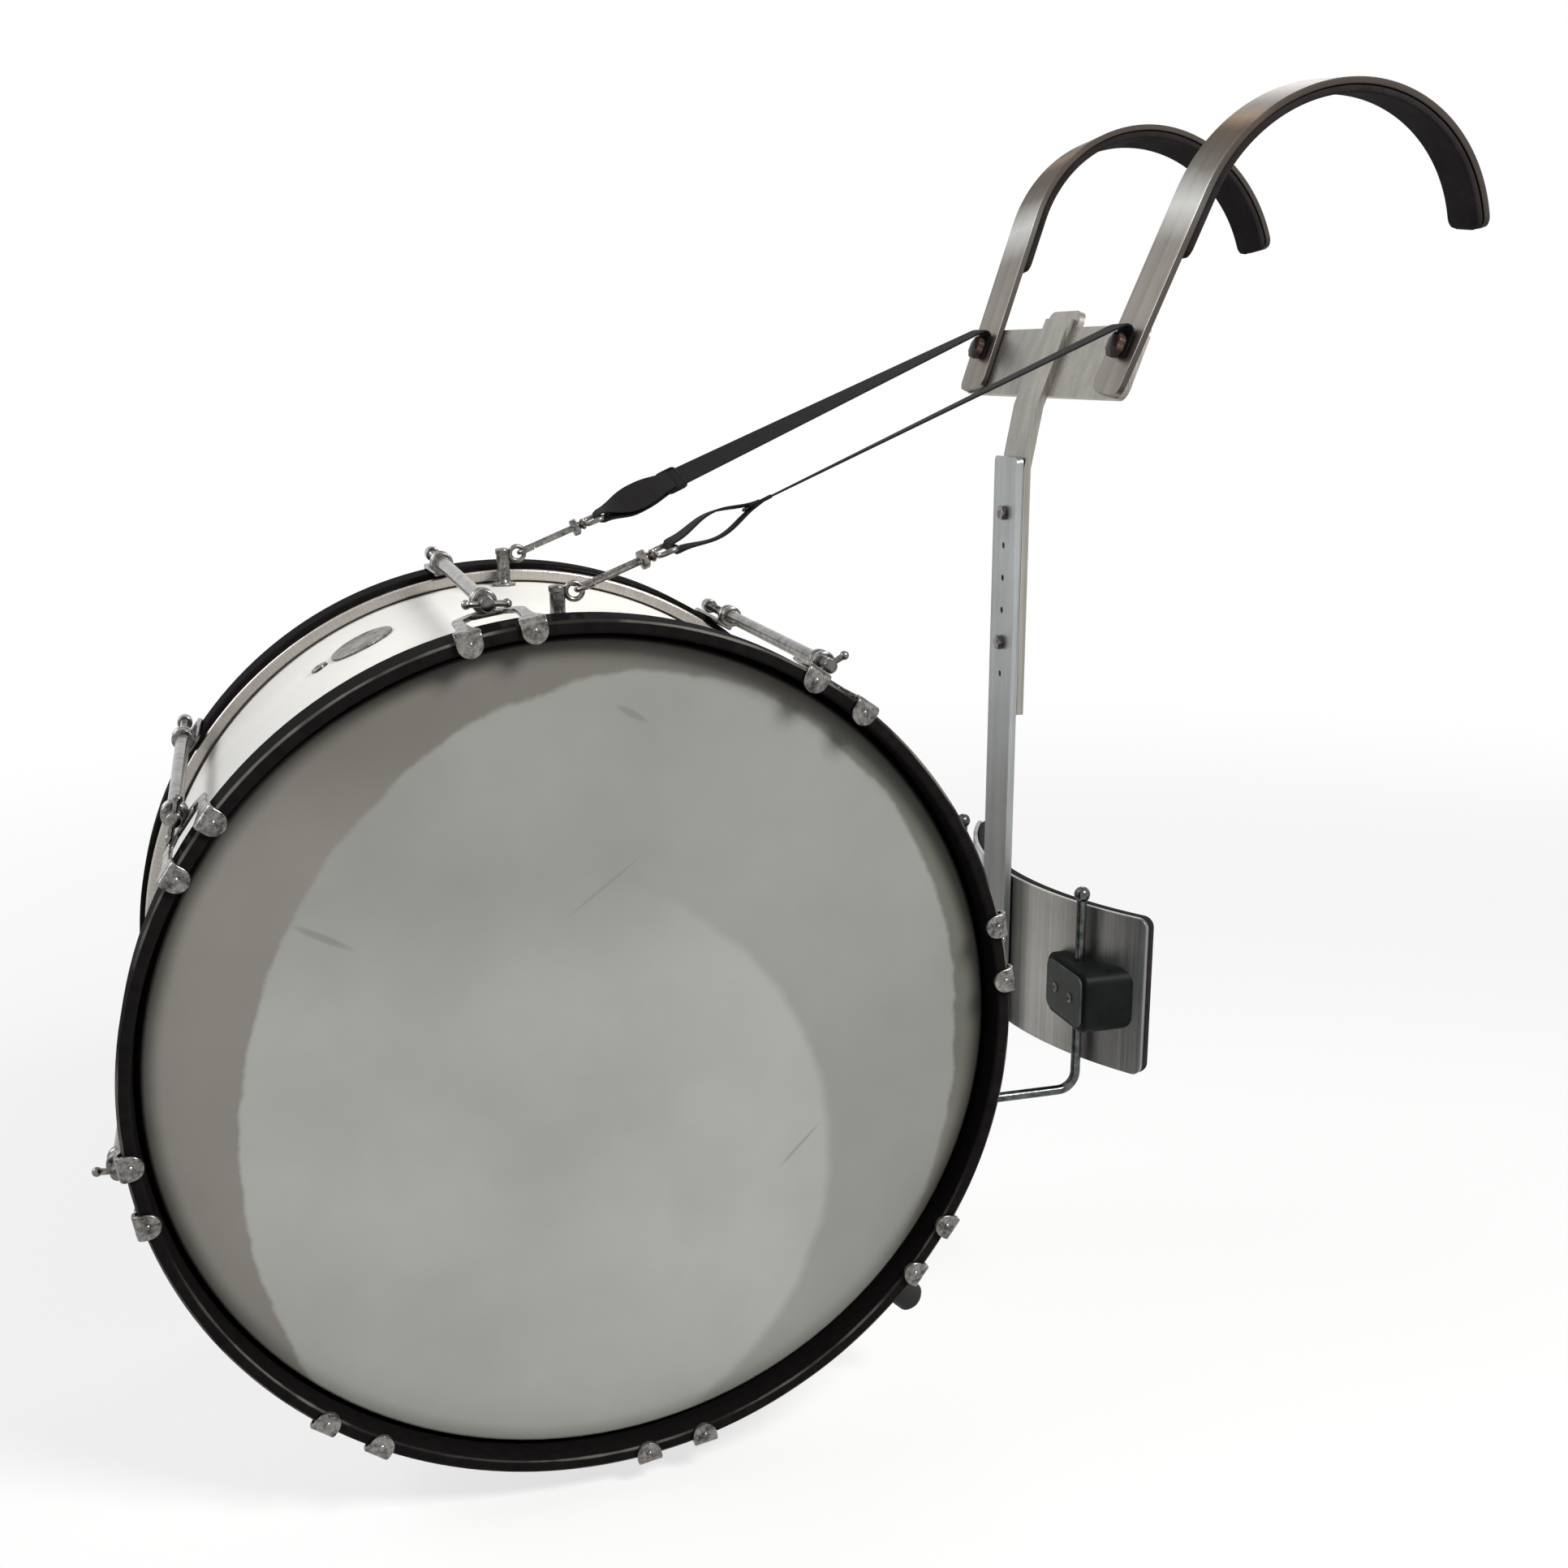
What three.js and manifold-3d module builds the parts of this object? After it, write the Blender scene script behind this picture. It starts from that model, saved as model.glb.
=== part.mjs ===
// A marching bass drum on its shoulder carrier. Millimetres, +Z up, +X towards the wearer, +Y along the drum's axis
// from the near head to the far head. Sizes below are set about the drum's centre; the finished part's origin lies
// between the two shoulder arms, on the underside of their foam, where the wearer's shoulders hold it.
import * as THREE from "three";
import { mergeVertices } from "three/addons/utils/BufferGeometryUtils.js";
import Module from "manifold-3d";

const wasm = await Module();
wasm.setup();

const degree = Math.PI / 180;
const clearance = 0.3; // between pieces that rest on each other
const overrun = 20; // how far a cutter stands past what it cuts
const weld = 0.001;
const facets = { ring: 60, round: 16, rod: 8, arc: 8, corner: 2, path: 20, hex: 6 };

// Driving dimensions of the drum.
const shell = { radius: 302, wall: 7, depth: 356 };
const hoop = { gap: 5, wall: 13, width: 40, overhang: 20, edge: 2.5 };
const film = { thickness: 0.9, slack: 0.5, collar: 24, edge: 1.5 };
const flesh = { wall: 10, width: 7 };
const stations = { count: 8, first: 10 };
const tHandleTurns = [62, 25, 100, 70, 15, 84, 40, 150];

// A claw's tongue hooks over a hoop's edge; its plate lies on the hoop's rim.
const claw = { plate: 3.6, tongue: 3.6, width: 22, cover: 16 };
const yoke = { spread: 22, leg: 8, throat: 57, floor: 61, mouth: 13, shoulder: 54, tip: 10 };
const boss = { radius: 9, length: 16, bore: 4.3, lift: 11 };
const tRod = { thread: 3.6, sleeve: 6, collar: 5.5, knob: 6, knobLength: 14, dome: 4, handleFromHoop: 51.5 };
const tBar = { halfLength: 14, radius: 2.4, ball: 3.5, collarAhead: 5 };
const farClaw = { bossFromHoop: 62, shoulder: 46, tip: 8, knobFromEdge: 6 };

// Small pieces on the shell.
const badge = { angle: 115.5, along: 26, across: 30, thickness: 2, fromMiddle: 36 };
const vent = { fromBadge: 3.9, bore: 2.6, sleeve: 4.2, hole: 4.7, flange: 7, flangeThickness: 2 };
const foot = { angle: -44, radius: 14, tipRadius: 12, height: 72, fromEnd: 44, edge: 4 };

// The straps run in two planes, one each side, from a post on the shell to a knob on the carrier.
const post = { fromTop: 6, fromEnd: 46, radius: 6, height: 34, foot: 10, footHeight: 2.5, eyeOut: 12, eyeDrop: 5 };
const eye = { ring: 6, wire: 1.9 };
const hook = { rise: 22.2, wire: 1.9, halfWidth: 6.5, nose: 6, side: 44, baseLength: 5, baseHalfWidth: 9, baseThick: 6 };
const gate = { wire: 1.6, gap: 0.6 };
const strapRing = { neck: 4, halfWidth: 17, bar: 4, slot: 10, slotHalfWidth: 13.4, thickness: 4 };
const strap = { width: 25, thickness: 2, loopBulge: 8, play: 1.2, tail: 12, lap: 22, bend: 5, hole: 3.6 };
const slider = { fromEye: 134, aboveShell: 87, length: 16, thickness: 7 };

// The carrier: a leaning chest frame, two arms over the shoulders, and the spine down to the belly plate.
const chest = { behindSpine: 16.08, aboveShell: 168, lean: 21, plate: 5, inset: 6, below: 8, height: 58, bar: 6, corner: 9, lug: 14, lugWidth: 30 };
const arm = { width: 47, tipWidth: 40, thickness: 5, radius: 127, straight: 150.85, tipAngle: 11, below: 6, splay: 6.4 };
const armPad = { thickness: 8, below: 48, inset: 1 };
const strapKnob = { up: 30, radius: 9, head: 8, stem: 3, hole: 3.4, nut: 6, nutThickness: 4 };
const spine = { fromHoop: 71.5, width: 45, thickness: 6, bend: 22 };
const lowerBar = { aboveShell: 110, bottom: -77, corner: 5, holeRadius: 2.6, holesBelowTop: [73, 100, 127, 181] };
const upperBar = { length: 204, bendBelowTop: 9, leanDepth: 18, topCorner: 8 };
const adjuster = { belowTop: [46, 154], shank: 3, hole: 3.4, headRadius: 6.5, head: 4, nutRadius: 6, nut: 5 };
const slots = { halfWidth: 3.6, above: 24, below: 47 };
const belly = { radius: 300, thickness: 4, halfWidth: 168, top: 58, bottom: -74, corner: 8 };
const bellyPad = { thickness: 8, overhang: 2 };
const block = { halfWidth: 36, top: 14, bottom: -38, corner: 12, back: 56, bore: 4.6 };
const facePlate = { inset: 5, proud: 2, screwRadius: 3, screwProud: 1.2, screwSpacing: 26 };
const jRod = { radius: 4, offPlate: 10.63, inBlock: 14, top: 70, reachZ: -97, bend: 15, inShell: 9, ball: 6.5 };
const receiver = { fromEnd: 54, bore: 4.4, tube: 8, mouth: 20, root: 18, halfWidth: 13, halfHeight: 15, depth: 25 };

const hoopPlane = shell.depth / 2 + hoop.overhang; // a hoop's outer edge, from the drum's middle
const hoopRadius = shell.radius + hoop.gap + hoop.wall;
const rodRadius = hoopRadius + boss.lift; // the tension rods' distance from the drum's axis
const plateFloor = hoopRadius + clearance; // underside of a claw's plate, from the drum's axis
const ventAngle = badge.angle + (badge.along + vent.fromBadge + vent.flange) / shell.radius / degree;
const strapLine = shell.depth / 2 - post.fromEnd; // the straps' distance from the drum's middle, and the arms'
const rodLine = shell.depth / 2 - receiver.fromEnd; // the same for the J-rods
const footLine = shell.depth / 2 - foot.fromEnd;
const spineFront = hoopRadius + spine.fromHoop;
const spineBack = spineFront + spine.thickness;
const upperFace = spineBack + clearance; // front face of the upper bar and of the belly plate
const chestFoot = new THREE.Vector2(upperFace + chest.behindSpine, shell.radius + chest.aboveShell);
const lowerBarTop = shell.radius + lowerBar.aboveShell;
const adjusterHeights = adjuster.belowTop.map((below) => lowerBarTop - below);
const bellyCentre = upperFace + belly.radius;
const jRodX = bellyCentre - Math.sqrt(belly.radius ** 2 - rodLine ** 2) - jRod.offPlate;
const blockFace = jRodX - jRod.inBlock;
const jRodEnd = shell.radius - jRod.inShell;
const lean = chest.lean * degree;
const faceUp = new THREE.Vector2(Math.sin(lean), Math.cos(lean)); // along the chest frame's face, in X and Z
const faceOut = new THREE.Vector2(-Math.cos(lean), Math.sin(lean)); // out of that face, towards the drum
const shoulder = chestFoot.clone().addScaledVector(faceUp, arm.straight).addScaledVector(faceOut, -arm.radius);

const finishes = {
  whiteWrap: { color: 0xe9e7e1, roughness: 0.3, metalness: 0 },
  film: { color: 0xa3a49e, roughness: 0.55, metalness: 0 },
  blackWood: { color: 0x141312, roughness: 0.22, metalness: 0 },
  aluminium: { color: 0xb2b3b1, roughness: 0.4, metalness: 1 },
  chrome: { color: 0xc9c9c8, roughness: 0.15, metalness: 1 },
  rubber: { color: 0x1b1a1a, roughness: 0.8, metalness: 0 },
  foam: { color: 0x2b2729, roughness: 0.95, metalness: 0 },
  webbing: { color: 0x1d1c1d, roughness: 0.9, metalness: 0 },
  blackCast: { color: 0x2a2e2e, roughness: 0.55, metalness: 0.2 },
  brownKnob: { color: 0x2e2220, roughness: 0.5, metalness: 0 },
};
const materials = Object.fromEntries(
  Object.entries(finishes).map(([name, look]) => [name, new THREE.MeshStandardMaterial(look)]),
);

// Six times the volume that a closed mesh holds, negative where its faces point inwards.
function signedVolume(position, triangles) {
  const corner = [new THREE.Vector3(), new THREE.Vector3(), new THREE.Vector3()];
  let sum = 0;
  for (let i = 0; i < triangles.length; i += 3) {
    corner.forEach((c, k) => c.fromArray(position, triangles[i + k] * 3));
    sum += corner[0].dot(corner[1].clone().cross(corner[2]));
  }
  return sum;
}

// A closed geometry as a solid, with its vertices merged, empty triangles dropped and its faces turned outwards.
function solid(geometry) {
  const bare = geometry.index ? geometry.toNonIndexed() : geometry.clone();
  bare.deleteAttribute("normal");
  bare.deleteAttribute("uv");
  const merged = mergeVertices(bare, weld);
  const vertProperties = new Float32Array(merged.attributes.position.array);
  const index = merged.index.array;
  const kept = [];
  for (let i = 0; i < index.length; i += 3) {
    const [a, b, c] = [index[i], index[i + 1], index[i + 2]];
    if (a !== b && b !== c && c !== a) kept.push(a, b, c);
  }
  if (signedVolume(vertProperties, kept) < 0) {
    for (let i = 0; i < kept.length; i += 3) [kept[i + 1], kept[i + 2]] = [kept[i + 2], kept[i + 1]];
  }
  return new wasm.Manifold(new wasm.Mesh({ numProp: 3, vertProperties, triVerts: new Uint32Array(kept) }));
}

function joined(...solids) {
  return solids.reduce((whole, next) => whole.add(next));
}

// Adds a solid to a group as one named mesh.
function addPiece(group, name, material, made) {
  const mesh = made.getMesh();
  const geometry = new THREE.BufferGeometry();
  geometry.setAttribute("position", new THREE.BufferAttribute(new Float32Array(mesh.vertProperties), 3));
  geometry.setIndex(new THREE.BufferAttribute(new Uint32Array(mesh.triVerts), 1));
  geometry.computeVertexNormals();
  const piece = new THREE.Mesh(geometry, materials[material]);
  piece.name = name;
  group.add(piece);
}

// A closed outline of [radius, y] points turned about the Y axis. It may start and end on the axis.
function turned(profile, segments = facets.ring) {
  const points = profile.map(([r, y]) => new THREE.Vector2(r, y));
  const onAxis = profile[0][0] === 0 && profile.at(-1)[0] === 0;
  if (!onAxis) points.push(points[0].clone());
  return new THREE.LatheGeometry(points, segments);
}

function extruded(shape, depth) {
  return new THREE.ExtrudeGeometry(shape, { depth, bevelEnabled: false, curveSegments: facets.corner });
}

// A shape drawn in X and Y, from z0 up to z1.
function alongZ(shape, z0, z1) {
  return extruded(shape, z1 - z0).translate(0, 0, z0);
}

// A shape drawn in X and Z, from y0 to y1.
function alongY(shape, y0, y1) {
  return extruded(shape, y1 - y0).rotateX(Math.PI / 2).translate(0, y1, 0);
}

// A shape drawn in Y and Z, from x0 to x1.
function alongX(shape, x0, x1) {
  return extruded(shape, x1 - x0).rotateX(Math.PI / 2).rotateZ(Math.PI / 2).translate(x0, 0, 0);
}

// A round bar between two points.
function bar(from, to, radius, segments = facets.rod) {
  const axis = to.clone().sub(from);
  const round = new THREE.CylinderGeometry(radius, radius, axis.length(), segments);
  round.applyQuaternion(new THREE.Quaternion().setFromUnitVectors(new THREE.Vector3(0, 1, 0), axis.clone().normalize()));
  const middle = from.clone().add(to).multiplyScalar(0.5);
  return round.translate(middle.x, middle.y, middle.z);
}

function outline(points) {
  return new THREE.Shape(points.map(([a, b]) => new THREE.Vector2(a, b)));
}

// A rectangle with round corners.
function roundedBox(left, right, low, high, corner) {
  const shape = new THREE.Shape();
  shape.moveTo(left + corner, low);
  shape.lineTo(right - corner, low);
  shape.absarc(right - corner, low + corner, corner, -Math.PI / 2, 0);
  shape.lineTo(right, high - corner);
  shape.absarc(right - corner, high - corner, corner, 0, Math.PI / 2);
  shape.lineTo(left + corner, high);
  shape.absarc(left + corner, high - corner, corner, Math.PI / 2, Math.PI);
  shape.lineTo(left, low + corner);
  shape.absarc(left + corner, low + corner, corner, Math.PI, 1.5 * Math.PI);
  return shape;
}

// A line through the given corners, each but the ends rounded by an arc of the given radius.
function roundedLine(corners, radius) {
  const points = [corners[0].clone()];
  for (let i = 1; i < corners.length - 1; i++) {
    const back = corners[i - 1].clone().sub(corners[i]).normalize();
    const on = corners[i + 1].clone().sub(corners[i]).normalize();
    const half = Math.acos(THREE.MathUtils.clamp(back.dot(on), -1, 1)) / 2;
    const setback = radius / Math.tan(half);
    const start = corners[i].clone().addScaledVector(back, setback);
    const end = corners[i].clone().addScaledVector(on, setback);
    const centre = corners[i].clone().addScaledVector(back.clone().add(on).normalize(), radius / Math.sin(half));
    for (let k = 0; k <= facets.arc; k++) {
      const spoke = start.clone().lerp(end, k / facets.arc).sub(centre).normalize();
      points.push(centre.clone().addScaledVector(spoke, radius));
    }
  }
  points.push(corners.at(-1).clone());
  return points;
}

// The two sides of a band along a line, each at its own distance to the line's left.
function bandSides(line, leftA, leftB) {
  const side = (distance) =>
    line.map((p, i) => {
      const before = line[Math.max(i - 1, 0)];
      const after = line[Math.min(i + 1, line.length - 1)];
      const run = after.clone().sub(before).normalize();
      return new THREE.Vector2(p.x - run.y * distance, p.y + run.x * distance);
    });
  return [side(leftA), side(leftB)];
}

function band(line, leftA, leftB) {
  const [a, b] = bandSides(line, leftA, leftB);
  return new THREE.Shape([...a, ...b.reverse()]);
}

// Points along an arc, from one angle to another.
function arcPoints(x, y, radius, from, to, segments) {
  return Array.from({ length: segments + 1 }, (_, k) => {
    const angle = from + ((to - from) * k) / segments;
    return new THREE.Vector2(x + radius * Math.cos(angle), y + radius * Math.sin(angle));
  });
}

function circle(x, y, radius, segments = facets.round) {
  return new THREE.Shape(arcPoints(x, y, radius, 0, 2 * Math.PI, segments).slice(1));
}

// Everything inside the shell's outer surface, for cutting what sits on the shell.
const shellEnvelope = solid(
  turned([
    [0, -shell.depth],
    [shell.radius + clearance, -shell.depth],
    [shell.radius + clearance, shell.depth],
    [0, shell.depth],
  ]),
);

// A point on the chest frame's face line, from its own up and out distances.
function onFace(up, out = 0) {
  return chestFoot.clone().addScaledVector(faceUp, up).addScaledVector(faceOut, out);
}

// A bar out of the chest frame's face, at a height on it and a place across it.
function throughFace(up, across, from, to, radius, segments) {
  const a = onFace(up, from);
  const b = onFace(up, to);
  return bar(new THREE.Vector3(a.x, across, a.y), new THREE.Vector3(b.x, across, b.y), radius, segments);
}

// Turns a group so that its own X runs round the drum, its Z outwards, at an angle from the drum's +X.
function stationGroup(parent, angle) {
  const group = new THREE.Group();
  group.rotation.y = Math.PI / 2 - angle * degree;
  parent.add(group);
  return group;
}

function makeShell(drum) {
  const inner = shell.radius - shell.wall;
  const half = shell.depth / 2;
  const wall = turned([
    [inner, -half],
    [shell.radius, -half],
    [shell.radius, half],
    [inner, half],
  ]);
  const direction = new THREE.Vector3(Math.cos(ventAngle * degree), 0, Math.sin(ventAngle * degree));
  const hole = bar(
    direction.clone().multiplyScalar(inner - overrun).setY(badge.fromMiddle),
    direction.clone().multiplyScalar(shell.radius + overrun).setY(badge.fromMiddle),
    vent.hole,
  );
  addPiece(drum, "shell", "whiteWrap", solid(wall).subtract(solid(hole)));
}

function makeVent(drum) {
  const group = stationGroup(drum, ventAngle);
  group.position.y = badge.fromMiddle;
  const seat = shell.radius + clearance;
  const inner = shell.radius - shell.wall;
  const profile = [
    [vent.bore, inner],
    [vent.sleeve, inner],
    [vent.sleeve, seat],
    [vent.flange, seat],
    [vent.flange, seat + vent.flangeThickness],
    [vent.bore, seat + vent.flangeThickness],
  ];
  addPiece(group, "vent_grommet", "chrome", solid(turned(profile, facets.round).rotateX(Math.PI / 2)));
}

function makeBadge(drum) {
  const seat = shell.radius + clearance;
  const skin = turned([
    [seat, -shell.depth],
    [seat + badge.thickness, -shell.depth],
    [seat + badge.thickness, shell.depth],
    [seat, shell.depth],
  ]);
  const unit = arcPoints(0, 0, 1, 0, 2 * Math.PI, facets.ring / 2).slice(1);
  const oval = new THREE.Shape(unit.map((p) => p.multiply(new THREE.Vector2(badge.along, badge.across))));
  const cutter = alongZ(oval, shell.radius - overrun, shell.radius + overrun);
  cutter.rotateY(Math.PI / 2 - badge.angle * degree).translate(0, badge.fromMiddle, 0);
  addPiece(drum, "badge", "chrome", solid(skin).intersect(solid(cutter)));
}

// Side is -1 for the near end of the drum and 1 for the far end.
function makeHead(drum, name, side) {
  const inner = shell.radius + film.slack;
  const outer = inner + film.thickness;
  const under = shell.depth / 2 + clearance;
  const top = under + film.thickness;
  const profile = [
    [0, top],
    [outer - film.edge, top],
    [outer, top - film.edge],
    [outer, shell.depth / 2 - film.collar],
    [inner, shell.depth / 2 - film.collar],
    [inner, under],
    [0, under],
  ];
  addPiece(drum, name, "film", solid(turned(profile.map(([r, y]) => [r, side * y]))));
}

function makeFleshHoop(drum, name, side) {
  const inner = shell.radius + film.slack + film.thickness + clearance;
  const outer = inner + flesh.wall;
  const front = hoopPlane - hoop.width - clearance;
  const profile = [
    [inner, front - flesh.width],
    [outer, front - flesh.width],
    [outer, front],
    [inner, front],
  ];
  addPiece(drum, name, "aluminium", solid(turned(profile.map(([r, y]) => [r, side * y]))));
}

function makeHoop(drum, name, side) {
  const inner = hoopRadius - hoop.wall;
  const rear = hoopPlane - hoop.width;
  const e = hoop.edge;
  const profile = [
    [inner, rear],
    [hoopRadius - e, rear],
    [hoopRadius, rear + e],
    [hoopRadius, hoopPlane - e],
    [hoopRadius - e, hoopPlane],
    [inner + e, hoopPlane],
    [inner, hoopPlane - e],
  ];
  addPiece(drum, name, "blackWood", solid(turned(profile.map(([r, y]) => [r, side * y]))));
}

// A tongue with a round end, over a hoop's outer edge. Side says which hoop, and across where it stands on the rim.
function clawTongue(side, across) {
  const half = claw.width / 2;
  const top = plateFloor + claw.plate;
  const centre = plateFloor - claw.cover + half;
  const end = arcPoints(across, centre, half, Math.PI, 2 * Math.PI, facets.arc);
  const corners = [new THREE.Vector2(across + half, top), new THREE.Vector2(across - half, top)];
  const shape = new THREE.Shape([...end, ...corners]);
  const edge = side * (hoopPlane + clearance);
  const back = side * (hoopPlane + clearance + claw.tongue);
  return solid(alongY(shape, Math.min(edge, back), Math.max(edge, back)));
}

// The boss that a rod passes through, with its front face a given distance behind a hoop's outer edge.
function rodBoss(side, fromEdge) {
  const ends = [side * (hoopPlane - fromEdge), side * (hoopPlane - fromEdge - boss.length)].sort((a, b) => a - b);
  const at = (y) => new THREE.Vector3(0, y, rodRadius);
  const body = bar(at(ends[0]), at(ends[1]), boss.radius, facets.round);
  const bore = bar(at(ends[0] - overrun), at(ends[1] + overrun), boss.bore, facets.rod);
  return { body: solid(body), bore: solid(bore) };
}

// Two claws over the near hoop, two legs behind it and the boss where they meet, with room for the T-handle between.
function makeClawYoke(group, name) {
  const outer = yoke.spread + yoke.leg / 2;
  const inner = yoke.spread - yoke.leg / 2;
  const half = [
    [outer, -clearance - claw.tongue],
    [outer, yoke.shoulder],
    [yoke.tip, yoke.floor + boss.length - yoke.tip / 2],
  ];
  const throat = [
    [yoke.mouth, yoke.floor],
    [inner, yoke.throat],
    [inner, -clearance - claw.tongue],
  ];
  const right = [...half];
  const left = [...half].reverse().map(([t, y]) => [-t, y]);
  const throatLeft = [...throat].reverse().map(([t, y]) => [-t, y]);
  const points = [...right, ...left, ...throatLeft, ...throat].map(([t, y]) => [t, y - hoopPlane]);
  const plate = solid(alongZ(outline(points), plateFloor, plateFloor + claw.plate));
  const { body, bore } = rodBoss(-1, yoke.floor);
  const made = joined(plate, clawTongue(-1, -yoke.spread), clawTongue(-1, yoke.spread), body).subtract(bore);
  addPiece(group, name, "chrome", made);
}

// One claw over the far hoop, with the boss that the rod's thread turns in.
function makeFarClaw(group, name) {
  const half = claw.width / 2;
  const end = farClaw.bossFromHoop + boss.length / 2;
  const points = [
    [half, -clearance - claw.tongue],
    [half, farClaw.shoulder],
    [farClaw.tip, end],
    [-farClaw.tip, end],
    [-half, farClaw.shoulder],
    [-half, -clearance - claw.tongue],
  ].map(([t, y]) => [t, hoopPlane - y]);
  const plate = solid(alongZ(outline(points), plateFloor, plateFloor + claw.plate));
  const { body, bore } = rodBoss(1, farClaw.bossFromHoop);
  addPiece(group, name, "chrome", joined(plate, clawTongue(1, 0), body).subtract(bore));
}

// The T-handle, its collar, the sleeve across the shell, the threaded end and its knob, all in one turned piece.
function makeTRod(group, name, turn) {
  const handle = -hoopPlane + tRod.handleFromHoop;
  const nearBoss = -hoopPlane + yoke.floor;
  const farBoss = hoopPlane - farClaw.bossFromHoop - boss.length;
  const knobStart = hoopPlane - farClaw.knobFromEdge;
  const knobEnd = knobStart + tRod.knobLength;
  const profile = [
    [0, handle - tBar.collarAhead],
    [tRod.collar, handle - tBar.collarAhead],
    [tRod.collar, nearBoss - clearance],
    [tRod.thread, nearBoss - clearance],
    [tRod.thread, nearBoss + boss.length + clearance],
    [tRod.sleeve, nearBoss + boss.length + clearance],
    [tRod.sleeve, farBoss - clearance],
    [tRod.thread, farBoss - clearance],
    [tRod.thread, knobStart],
    [tRod.knob, knobStart],
    [tRod.knob, knobEnd - tRod.dome],
    [tRod.thread, knobEnd],
    [0, knobEnd],
  ];
  const b = tBar.ball;
  const neck = Math.sqrt(b * b - tBar.radius * tBar.radius);
  const halfBar = [
    [0, tBar.halfLength + b],
    [b / Math.SQRT2, tBar.halfLength + b / Math.SQRT2],
    [b, tBar.halfLength],
    [tBar.radius, tBar.halfLength - neck],
  ];
  const barProfile = [...halfBar, ...[...halfBar].reverse().map(([r, y]) => [r, -y])];
  const cross = turned(barProfile, facets.rod).rotateX(Math.PI / 2).rotateY(turn * degree).translate(0, handle, 0);
  const rod = joined(solid(turned(profile, facets.rod)), solid(cross));
  const placed = new THREE.Group();
  placed.position.z = rodRadius;
  group.add(placed);
  addPiece(placed, name, "chrome", rod);
}

function makeStations(drum) {
  for (let i = 0; i < stations.count; i++) {
    const group = stationGroup(drum, stations.first + (i * 360) / stations.count);
    makeClawYoke(group, `claw_yoke_${i + 1}`);
    makeTRod(group, `t_rod_${i + 1}`, tHandleTurns[i]);
    makeFarClaw(group, `far_claw_${i + 1}`);
  }
}

function makeFoot(drum) {
  const tip = shell.radius + foot.height;
  const profile = [
    [0, shell.radius - overrun],
    [foot.radius, shell.radius - overrun],
    [foot.radius, shell.radius + foot.radius],
    [foot.tipRadius, tip - foot.edge],
    [foot.tipRadius - foot.edge, tip],
    [0, tip],
  ];
  const standing = turned(profile, facets.round).rotateX(Math.PI / 2);
  standing.rotateY(Math.PI / 2 - foot.angle * degree).translate(0, -footLine, 0);
  addPiece(drum, "rubber_foot", "rubber", solid(standing).subtract(shellEnvelope));
}

// Where the eye on a post has its middle, in X and Z.
const eyeMiddle = new THREE.Vector2(post.eyeOut - post.fromTop, shell.radius + post.height - post.eyeDrop);

function makePost(drum, name, y) {
  const at = (z) => new THREE.Vector3(-post.fromTop, y, z);
  const top = shell.radius + post.height;
  const stem = bar(at(shell.radius - overrun), at(top), post.radius, facets.round);
  const base = bar(at(shell.radius - overrun), at(shell.radius + post.footHeight), post.foot, facets.round);
  const ring = new THREE.TorusGeometry(eye.ring, eye.wire, facets.rod, facets.round);
  ring.rotateX(Math.PI / 2).translate(eyeMiddle.x, y, eyeMiddle.y);
  const made = joined(solid(stem), solid(base)).subtract(shellEnvelope).add(solid(ring));
  addPiece(drum, name, "chrome", made);
}

// The hook's own frame: its origin in the middle of the eye, X along the strap, Y across, Z up.
function hookGroup(drum, y) {
  const group = new THREE.Group();
  group.position.set(eyeMiddle.x, y, eyeMiddle.y);
  group.rotation.y = -hook.rise * degree;
  drum.add(group);
  return group;
}

const hookTip = eye.ring - eye.wire - hook.wire - clearance; // the hook's wire where it passes through the eye
const hookBase = hookTip + hook.halfWidth + hook.side;
const ringStart = hookBase + hook.baseLength + strapRing.neck;
const ringBar = ringStart + strapRing.bar + strapRing.slot; // near side of the bar that the strap goes round

function makeSnapHook(group, name) {
  const centre = hookTip + hook.halfWidth;
  const line = new THREE.CurvePath();
  const at = (x, y) => new THREE.Vector3(x, y, 0);
  line.add(new THREE.LineCurve3(at(hookBase + hook.wire, hook.halfWidth), at(centre, hook.halfWidth)));
  const turn = arcPoints(centre, 0, hook.halfWidth, Math.PI / 2, 1.5 * Math.PI, facets.arc).map((p) => at(p.x, p.y));
  turn.slice(1).forEach((p, k) => line.add(new THREE.LineCurve3(turn[k], p)));
  line.add(new THREE.LineCurve3(turn.at(-1), at(centre + hook.nose, -hook.halfWidth)));
  const wire = new THREE.ExtrudeGeometry(circle(0, 0, hook.wire, facets.rod), {
    steps: facets.path,
    extrudePath: line,
  });
  const halfThick = hook.baseThick / 2;
  const baseShape = roundedBox(hookBase, hookBase + hook.baseLength, -hook.baseHalfWidth, hook.baseHalfWidth, hook.wire);
  const neckShape = roundedBox(
    hookBase + hook.wire,
    ringStart + strapRing.bar / 2,
    -hook.baseLength,
    hook.baseLength,
    hook.wire,
  );
  const ringEnd = ringBar + strapRing.bar;
  const ringShape = roundedBox(ringStart, ringEnd, -strapRing.halfWidth, strapRing.halfWidth, strapRing.bar);
  const slot = roundedBox(
    ringStart + strapRing.bar,
    ringBar,
    -strapRing.slotHalfWidth,
    strapRing.slotHalfWidth,
    hook.wire,
  );
  ringShape.holes.push(slot);
  const halfRing = strapRing.thickness / 2;
  const made = joined(
    solid(wire),
    solid(alongZ(baseShape, -halfThick, halfThick)),
    solid(alongZ(neckShape, -halfRing, halfRing)),
    solid(alongZ(ringShape, -halfRing, halfRing)),
  );
  addPiece(group, name, "chrome", made);
}

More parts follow.
